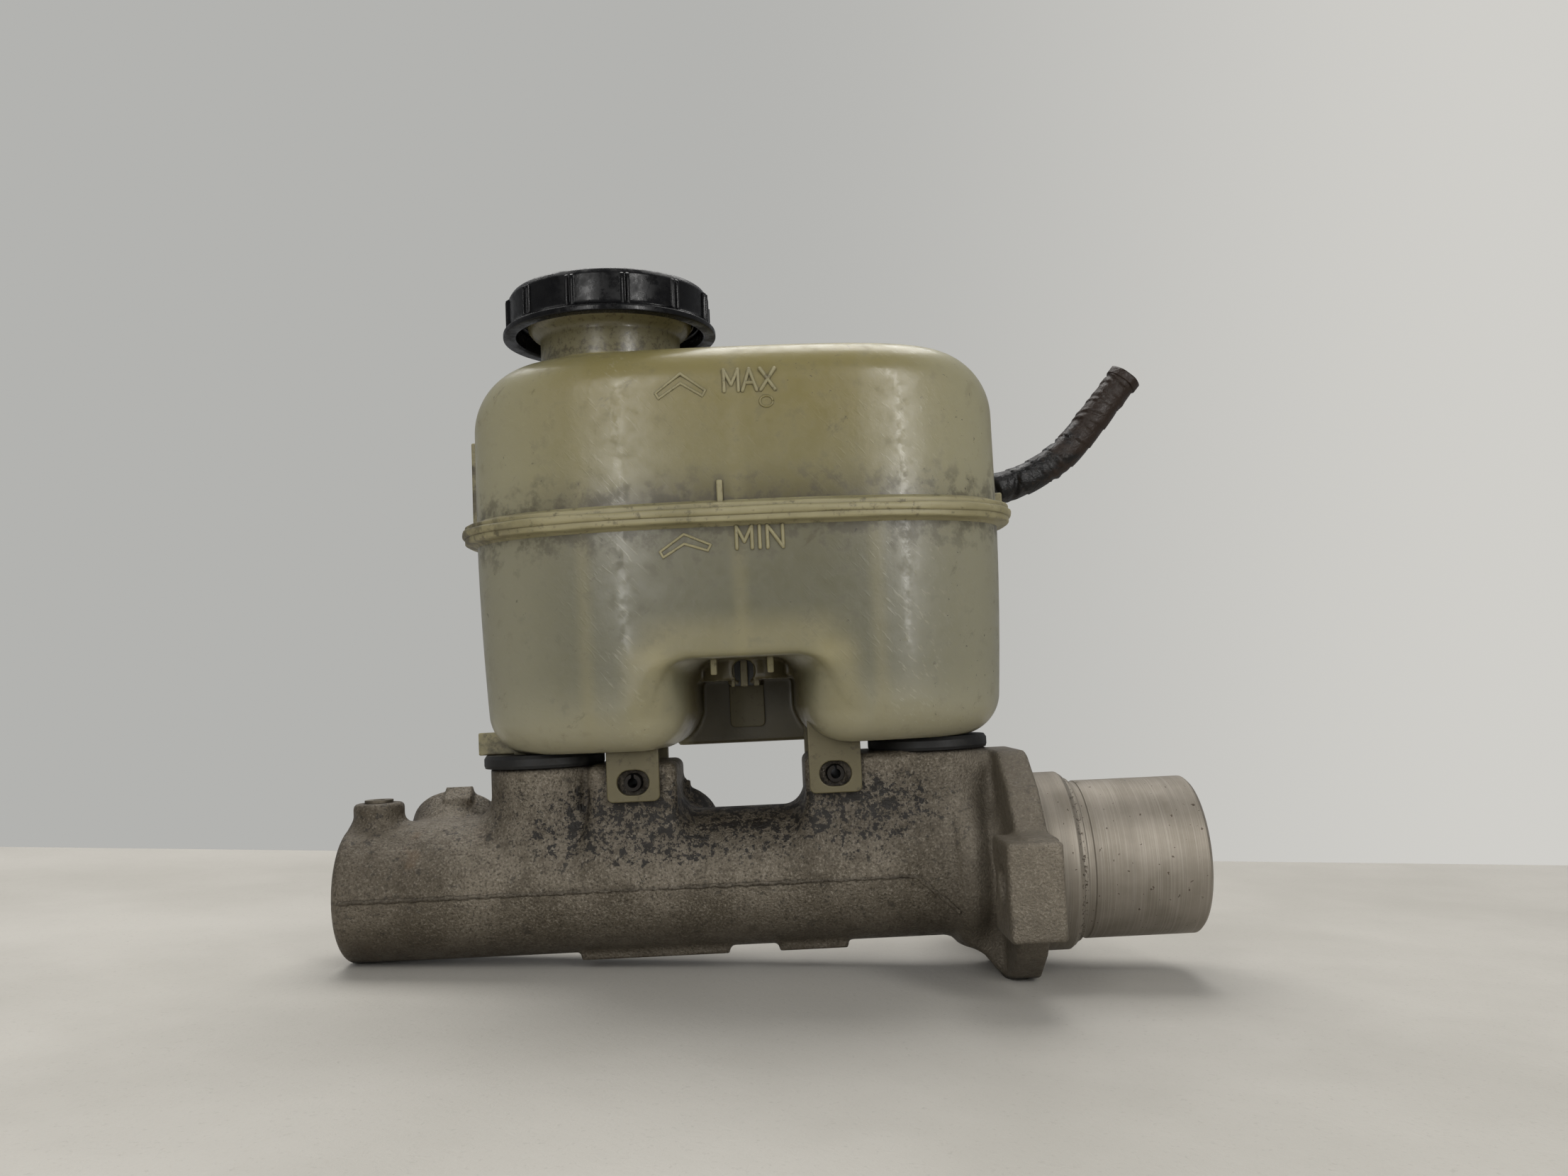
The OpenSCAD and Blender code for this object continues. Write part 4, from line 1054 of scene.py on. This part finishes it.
def sensor_latch():
    """Front end of the sensor's holder, seen in the pocket: three prongs with slots between them."""
    front = node_box("sensor_housing")[0][1] - 0.3
    bars = {"left": (-88.2, -87.1), "middle": (-85.3, -83.1), "right": (-81.3, -79.6)}
    for name, (x0, x1) in bars.items():
        put(slab(f"sensor_latch_{name}", (x0, front - 2.4, 58.1), (x1, front, 67.0), 0.3), STAINED_PLASTIC)
    put(slab("sensor_latch_back", (-88.0, front - 0.8, 58.3), (-79.8, front + 1.0, 66.8), 0.3), SENSOR_PLASTIC)


def build_reservoir():
    lo = (RES_X - RES_A - 1, -RES_B - 1, SEAM_Z - 1)
    hi = (RES_X + RES_A + 1, RES_B + 1, NECK_TOP + 1)
    shell = solid("reservoir_upper_shell", upper_shell, lo, hi, 0.95)
    put(shell, UPPER_PLASTIC, "reservoir_upper")
    lo = (RES_X - RES_A - 1, -RES_B - 1, 23)
    hi = (RES_X + RES_A + 1, RES_B + 1, SEAM_Z + 1)
    shell = solid("reservoir_lower_shell", lower_shell, lo, hi, 0.95)
    put(shell, LOWER_PLASTIC, "reservoir_lower")
    z = SEAM_Z
    out = SEAM_OUT
    upper = rounded([
        (-1.5, z + 0.1), (out - 1.0, z + 0.1), (out - 1.0, z + 2.6), (0.9, z + 3.1), (-0.6, z + 4.2),
        (-1.5, z + 4.2),
    ], [0, 0.3, 0.7, 0.6, 0.3, 0.3], 3)
    bead = rounded([(0, z - 1.25), (out, z - 1.25), (out, z + 1.25), (0, z + 1.25)], [0.2, 1.1, 1.1, 0.2], 4)
    lower = rounded([(-1.5, z - 0.1), (-1.5, z - 4.4), (-0.6, z - 4.4), (0.9, z - 3.2), (out - 0.8, z - 2.9),
                     (out - 0.8, z - 0.1)], [0, 0.3, 0.3, 0.6, 0.7, 0.3], 3)
    seam_ring("seam_flange_upper", upper)
    seam_ring("seam_bead", bead)
    seam_ring("seam_flange_lower", lower)
    x0, x1 = RES_X - RES_A, RES_X + RES_A
    ribs = {
        "end_rib_front": ((x0 - 2.4, -1.2, z + 2), (x0 + 3, 1.2, z + 31)),
        "end_rib_rear": ((x1 - 3, -1.2, z + 2), (x1 + 3, 1.2, z + 8)),
        "end_rib_rear_low": ((x1 - 3, -1.2, z - 11), (x1 + 0.4, 1.2, z - 1)),
        "seam_rib": ((-89.4, -39.3, z + 2), (-87.6, -36, z + 9.6)),
        "front_foot": ((x0 - 2.4, -1.6, RES_BOTTOM), (x0 + 14, 1.6, RES_BOTTOM + 7)),
        "pocket_peg_left": ((-94, -21, 61.8), (-92, -19, 67.5)),
        "pocket_peg_right": ((-77, -21, 61.8), (-75, -19, 67.5)),
    }
    for name, (lo, hi) in ribs.items():
        put(slab(name, lo, hi, 0.5), WELD_PLASTIC)
    shape = [(-78.4, 58.6), (-89.8, 58.6)]
    shape += arc((-88.2, 46.5), 1.6, 180, 270, 5) + arc((-80.0, 46.5), 1.6, 270, 360, 5)
    put(plate("pocket_panel", [shape], 1.6, 0.3, 21.6), STAINED_PLASTIC)
    sensor_latch()
    for i, pin_x in enumerate(PINS_X):
        for side in (-1, 1):
            pin_tab(f"{('front', 'rear')[i]}_tab_{'front' if side < 0 else 'back'}", pin_x, side)
    level_mark("max_mark", "MAX", -86.0, -71.2, 143.4, 149.6, ((-106.0, 143.7), (-98.6, 149.1), (-91.5, 143.9)))
    level_mark("min_mark", "MIN", -84.2, -70.9, 97.4, 103.8, ((-106.3, 97.4), (-99.3, 102.2), (-91.7, 98.8)))
    ring = [(-73.9 + 1.9 * math.cos(a), 140 + 1.6 * math.sin(a)) for a in np.linspace(0, 2 * math.pi, 25)]
    put(tube("gate_ring", on_front(ring), 0.35, 8), UPPER_PLASTIC)
    thread("neck_thread", 26.7, 1.05, 174.9, 0.85, UPPER_PLASTIC, "housing")


def thread(name, r, ridge, z, turns, material, body):
    """Helical ridge of a thread, starting at height z and fading out at its ends."""
    n = int(turns * 72)
    a = np.linspace(0, turns, n) * 2 * math.pi
    fade = np.clip(np.minimum(np.arange(n), np.arange(n)[::-1]) / 8, 0.15, 1)
    path = np.stack([NECK_X + r * np.cos(a), r * np.sin(a), z + THREAD_LEAD * a / (2 * math.pi)], 1)
    put(tube(name, path, ridge * fade, 10), material, body=body)


# ---- Filler cap ----


def build_cap():
    bottom, top = CAP_LO[2], CAP_HI[2]
    roof = node_box("cap_gasket")[1][2] + 0.05
    profile = rounded([
        (CAP_INNER_R, bottom + 0.6), (CAP_INNER_R + 0.6, bottom), (CAP_RIM_R, bottom), (CAP_RIM_R, bottom + 1.8),
        (CAP_R, bottom + 3), (CAP_R, bottom + 5), (CAP_R, bottom + 7), (CAP_R, bottom + 9), (CAP_R, top - 2.6),
        (CAP_R, top - 2.0), (CAP_R - 1.2, top), (27, top), (26.2, top - 0.5), (14, top - 0.5),
        (13.4, top - 0.9), (0, top - 0.9), (0, roof), (CAP_INNER_R, roof),
    ], [0.3, 0.3, 0.5, 0.5, 1.2, 0, 0, 0, 0, 0.5, 0.9, 0.5, 0.4, 0.3, 0.3, 0, 0, 0.8], 4)
    pitch = 2 * math.pi / CAP_GRIPS
    half_gap = math.radians(1.5)

    def grips(angle, r, h):
        if r < CAP_R - 1.3:
            return 0.0
        local = (angle / pitch) % 1.0 - 0.5
        local = np.abs(np.abs(local * pitch) - half_gap) * CAP_R
        rise = np.clip(1 - (local / 0.5) ** 4, 0, 1) ** 0.5
        height = np.clip((top - 2.0 - h) / 0.5, 0, 1)
        return rise * height * max(CAP_R + 0.95 - max(r, CAP_R - 0.3), 0)

    cap = lathe("cap", profile, centre=(NECK_X, 0), turns=1152, bulge=grips)
    put(cap, BLACK_PLASTIC, "filler_cap", body="cap")
    thread("cap_thread", 28.5, 1.15, 172.2 + THREAD_LEAD / 2, 1.2, BLACK_PLASTIC, "cap")


# ---- Harness ----


def harness_path(step=0.5):
    """Middle line of the harness: up behind the reservoir, across to its end, then up and out."""
    legs = [(16, 49.5), (59, None), (-30, 42), (8, None), (55, 42), (26, None)]
    x, z, heading = RES_X + 12, SENSOR_Z, 0.0
    path = [(x, z)]
    for size, sweep in legs:
        length = size if sweep is None else abs(size) * math.radians(sweep)
        n = max(int(length / step), 1)
        for _ in range(n):
            turn = 0.0 if sweep is None else math.copysign(math.radians(sweep), size) / n
            heading += turn / 2
            x += length / n * math.cos(heading)
            z += length / n * math.sin(heading)
            heading += turn / 2
            path.append((x, z))
    return np.array([(x, HARNESS_Y, z) for x, z in path])


def build_harness():
    path = harness_path()
    n, sides = len(path), 96
    s = np.arange(n)[:, None] * 0.5
    a = np.arange(sides)[None, :] * 2 * math.pi / sides
    rng = np.random.default_rng(11)
    # Each turn of tape laps over the last, so its edge makes a small step along a helix
    pitch = 8.5
    lap = ((s - pitch * a / (2 * math.pi)) / pitch) % 1.0
    radius = HARNESS_R + 0.05 + 0.42 * (1 - lap) ** 0.7
    wander = sum(
        rng.uniform(0.04, 0.10) * np.sin(k * a + rng.uniform(0, 6.28) + s * rng.uniform(-0.35, 0.35))
        for k in (1, 2, 3, 5)
    )
    # Creases lie at random along the tape
    creases = 0.0
    for _ in range(44):
        at, angle = rng.uniform(0, s.max()), rng.uniform(0, 2 * math.pi)
        slant = rng.uniform(-3.5, 3.5)
        off = s - at - slant * np.sin(a - angle)
        spread = np.exp(-((np.cos(a - angle) - 1) ** 2) / 0.7)
        depth, width = rng.uniform(0.25, 0.65), rng.uniform(0.6, 1.1)
        creases = creases - depth * np.exp(-(off / width) ** 2) * spread
        creases = creases + 0.5 * depth * np.exp(-((off - 1.8 * width) / width) ** 2) * spread
    radius = np.minimum(radius + wander * 0.8 + creases, HARNESS_R + 0.75)
    end = np.clip((s.max() - s) / 1.5, 0, 1)
    radius = radius + (1 - end) * 0.15 * np.sin(5 * a)
    sleeve = tube("harness_tape", path, radius, sides)
    put(sleeve, TAPE, "harness_sleeve")
    # The cut end: the tape's torn last turn, round the wires inside it
    tangent, normal, binormal = transport(path)
    lip = path[-7:] + tangent[-7:] * 0.9
    torn = HARNESS_R + 0.65 + 0.12 * np.sin(3 * a + 1) + 0.1 * np.sin(7 * a) + 0 * np.arange(7)[:, None]
    put(tube("harness_torn_turn", lip, torn, sides), TAPE)


# ---- Springs ----


def build_springs():
    """Round-wire springs with closed ends, each made where its CAD spring sits between the bodies that it pushes
    apart.
    """
    plans = {
        "secondary_spring": (6, "housing", "secondary"),
        "primary_spring": (9, "secondary", "primary"),
    }
    for node, (turns, ahead, behind) in plans.items():
        lo, hi = node_box(node)
        wire, mean = 1.3, hi[1] - 1.3
        x0, x1 = lo[0] + wire, hi[0] - wire
        n = turns * 48
        t = np.linspace(0, 1, n + 1)
        closed = 0.9 / turns
        rise = np.clip((t - closed * 0.5) / (1 - closed), 0, 1)
        rise = rise * 0.94 + t * 0.06
        a = 2 * math.pi * turns * t
        path = np.stack([x0 + (x1 - x0) * rise, mean * np.cos(a), mean * np.sin(a)], 1)
        coil = tube(node + "_wire", path, wire, 14, True)
        dress(coil, SPRING_STEEL, node)
        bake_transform(coil)


# ---- CAD nodes that keep their shape ----

KEPT = (
    (RUBBER, "front_grommet rear_grommet cap_gasket secondary_front_cup secondary_middle_cup secondary_rear_cup"
             " primary_front_cup primary_rear_cup"),
    (BRIGHT_STEEL, "sensor_terminals secondary_spring_seat primary_spring_seat primary_spring_cage cage_screw"
                   " stop_washer"),
    (PISTON_METAL, "secondary_piston primary_piston"),
    (PIN_STEEL, "front_retaining_pin rear_retaining_pin"),
    (BRASS, "front_tube_seat rear_tube_seat"),
    (PLUG_STEEL, "bleed_plug"),
    (DARK_STEEL, "snap_ring"),
    (FOAM, "level_float"),
    (MAGNET, "float_magnet"),
    (GLASS, "reed_switch"),
    (SENSOR_PLASTIC, "sensor_housing"),
    (PLUG_PLASTIC, "sensor_plug"),
    (WIRE, "harness_wires"),
)


def build_plug():
    """Grip ribs and the locking bridge on the harness plug."""
    lo, hi = node_box("sensor_plug")
    middle = (lo[0] + hi[0]) / 2
    pieces = {
        "plug_bridge": ((middle - 3.2, hi[1] - 10.5, hi[2] - 0.3), (middle + 3.2, hi[1] - 1.2, hi[2] + 1.3)),
        "plug_catch": ((middle - 2.0, hi[1] - 10.9, hi[2] + 1.0), (middle + 2.0, hi[1] - 9.2, hi[2] + 2.4)),
        "plug_back": ((lo[0] + 1.4, hi[1] - 0.4, lo[2] + 1.4), (hi[0] - 1.4, hi[1] + 0.9, hi[2] - 1.4)),
    }
    for i in range(3):
        y0 = hi[1] - 2.5 - 2.1 * i
        y1 = y0 + 1.0
        pieces[f"plug_rib_left_{i + 1}"] = ((lo[0] - 0.6, y0, lo[2] + 1.5), (lo[0] + 0.4, y1, hi[2] - 1.5))
        pieces[f"plug_rib_low_{i + 1}"] = ((lo[0] + 1.5, y0, lo[2] - 0.6), (hi[0] - 1.5, y1, lo[2] + 0.4))
    for name, (a, b) in pieces.items():
        put(slab(name, a, b, 0.3), PLUG_PLASTIC)


def dress_nodes():
    for material, names in KEPT:
        for name in names.split():
            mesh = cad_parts[name].data
            mesh.materials.clear()
            mesh.materials.append(material)


# ---- Stage ----


def build_floor():
    """Pale table, tilted as the object rests on it: on the barrel's closed end and the flange's lower lobe."""
    a = np.array([BODY_LO[0] + 4, -BARREL_R])
    b = np.array([-7.0, LOBE_BOTTOM])
    slope = (b[1] - a[1]) / (b[0] - a[0])
    reach, edge = 3000, 265
    points = [(x, y, a[1] + slope * (x - a[0])) for x, y in
              ((-reach, -reach), (reach, -reach), (reach, edge), (-reach, edge))]
    floor = mesh_object("table", points, [(0, 1, 2, 3)], smooth=False)
    m = Paint("table_top", specular_ior_level=0.3, roughness=0.6)
    m.cover((0.495, 0.475, 0.430), (0.575, 0.552, 0.505), m.noise(150, 5, 0.6).fade(0.3, 0.7))
    m.stain((0.30, 0.285, 0.25), m.noise(1.4, 5, 0.65).fade(0.58, 0.70) * 0.25)
    m.bump(m.noise(2.2, 4, 0.6, warp=0.8), 0.35, 0.6)
    floor.data.materials.append(m.material)


CAMERA_AT = (-77.56, -400.45, 55.90)
CAMERA_PITCH, CAMERA_YAW, CAMERA_ROLL = math.radians(4.66), math.radians(1.0), math.radians(-2.60)
CAMERA_LENS, CAMERA_SENSOR = 29.15, 36.0
LIGHTS_AIM = (-0.08, 0, 0.07)
WORLD_LIGHT = 0.27


def build_camera():
    data = bpy.data.cameras.new("camera")
    data.lens, data.sensor_width = CAMERA_LENS, CAMERA_SENSOR
    data.clip_start, data.clip_end = 0.01, 20
    level = math.cos(CAMERA_PITCH)
    forward = Vector((math.sin(CAMERA_YAW) * level, math.cos(CAMERA_YAW) * level, math.sin(CAMERA_PITCH)))
    right = Vector((math.cos(CAMERA_YAW), -math.sin(CAMERA_YAW), 0))
    up = right.cross(forward)
    c, s = math.cos(CAMERA_ROLL), math.sin(CAMERA_ROLL)
    turn = Matrix((c * right + s * up, c * up - s * right, -forward)).transposed().to_4x4()
    camera = link(bpy.data.objects.new("camera", data))
    camera.matrix_world = Matrix.Translation(Vector(CAMERA_AT) * MM) @ turn
    bpy.context.scene.camera = camera


def build_light(name, place, size, power, gloss_only=False, colour=(1.0, 0.99, 0.97)):
    light = bpy.data.lights.new(name, "AREA")
    light.shape = "RECTANGLE"
    light.size, light.size_y = size
    light.energy, light.color = power, colour
    obj = link(bpy.data.objects.new(name, light))
    obj.location = place
    obj.rotation_mode = "QUATERNION"
    obj.rotation_quaternion = (Vector(LIGHTS_AIM) - Vector(place)).to_track_quat("-Z", "Y")
    obj.visible_diffuse = not gloss_only


def build_world():
    """Even soft light, and behind the object a pale wall colour with painted light that brightens it to the
    right.
    """
    world = bpy.data.worlds.new("studio")
    g = Graph(world)
    light = g.nodes["Background"]
    light.inputs["Color"].default_value = (0.97, 0.98, 1.0, 1)
    light.inputs["Strength"].default_value = WORLD_LIGHT
    across = g.add("SeparateXYZ", "X", {0: g.add("TexCoord", "Window")})
    # Painted light: the wall brightens to the right
    wall = g.mix(across.fade(0.42, 1.0), (0.450, 0.450, 0.435), (0.630, 0.620, 0.590))
    wall = g.add("Background", inputs={"Color": wall})
    seen = {0: g.add("LightPath", "Is Camera Ray"), 1: Value(g, light.outputs[0]), 2: wall}
    g.feed(g.nodes["World Output"].inputs["Surface"], g.add("MixShader", inputs=seen))
    bpy.context.scene.world = world


def build_stage():
    build_floor()
    build_camera()
    build_world()
    build_light("ceiling", (-0.15, 0.65, 1.5), (1.6, 1.0), 22, colour=(1.0, 0.985, 0.96))
    build_light("fill_left", (-0.44, -0.99, 0.50), (0.3, 0.8), 3.2)
    build_light("fill_right", (0.52, -0.87, 0.50), (0.3, 0.8), 3.6)
    build_light("strip_left", (-0.44, -0.99, 0.45), (0.025, 0.9), 2.6, gloss_only=True)
    build_light("strip_right", (0.52, -0.87, 0.45), (0.045, 0.9), 4.2, gloss_only=True)
    view = bpy.context.scene.view_settings
    view.view_transform, view.look = "Standard", "None"


dress_nodes()
build_plug()
build_casting()
build_reservoir()
build_cap()
build_harness()
build_springs()
build_stage()
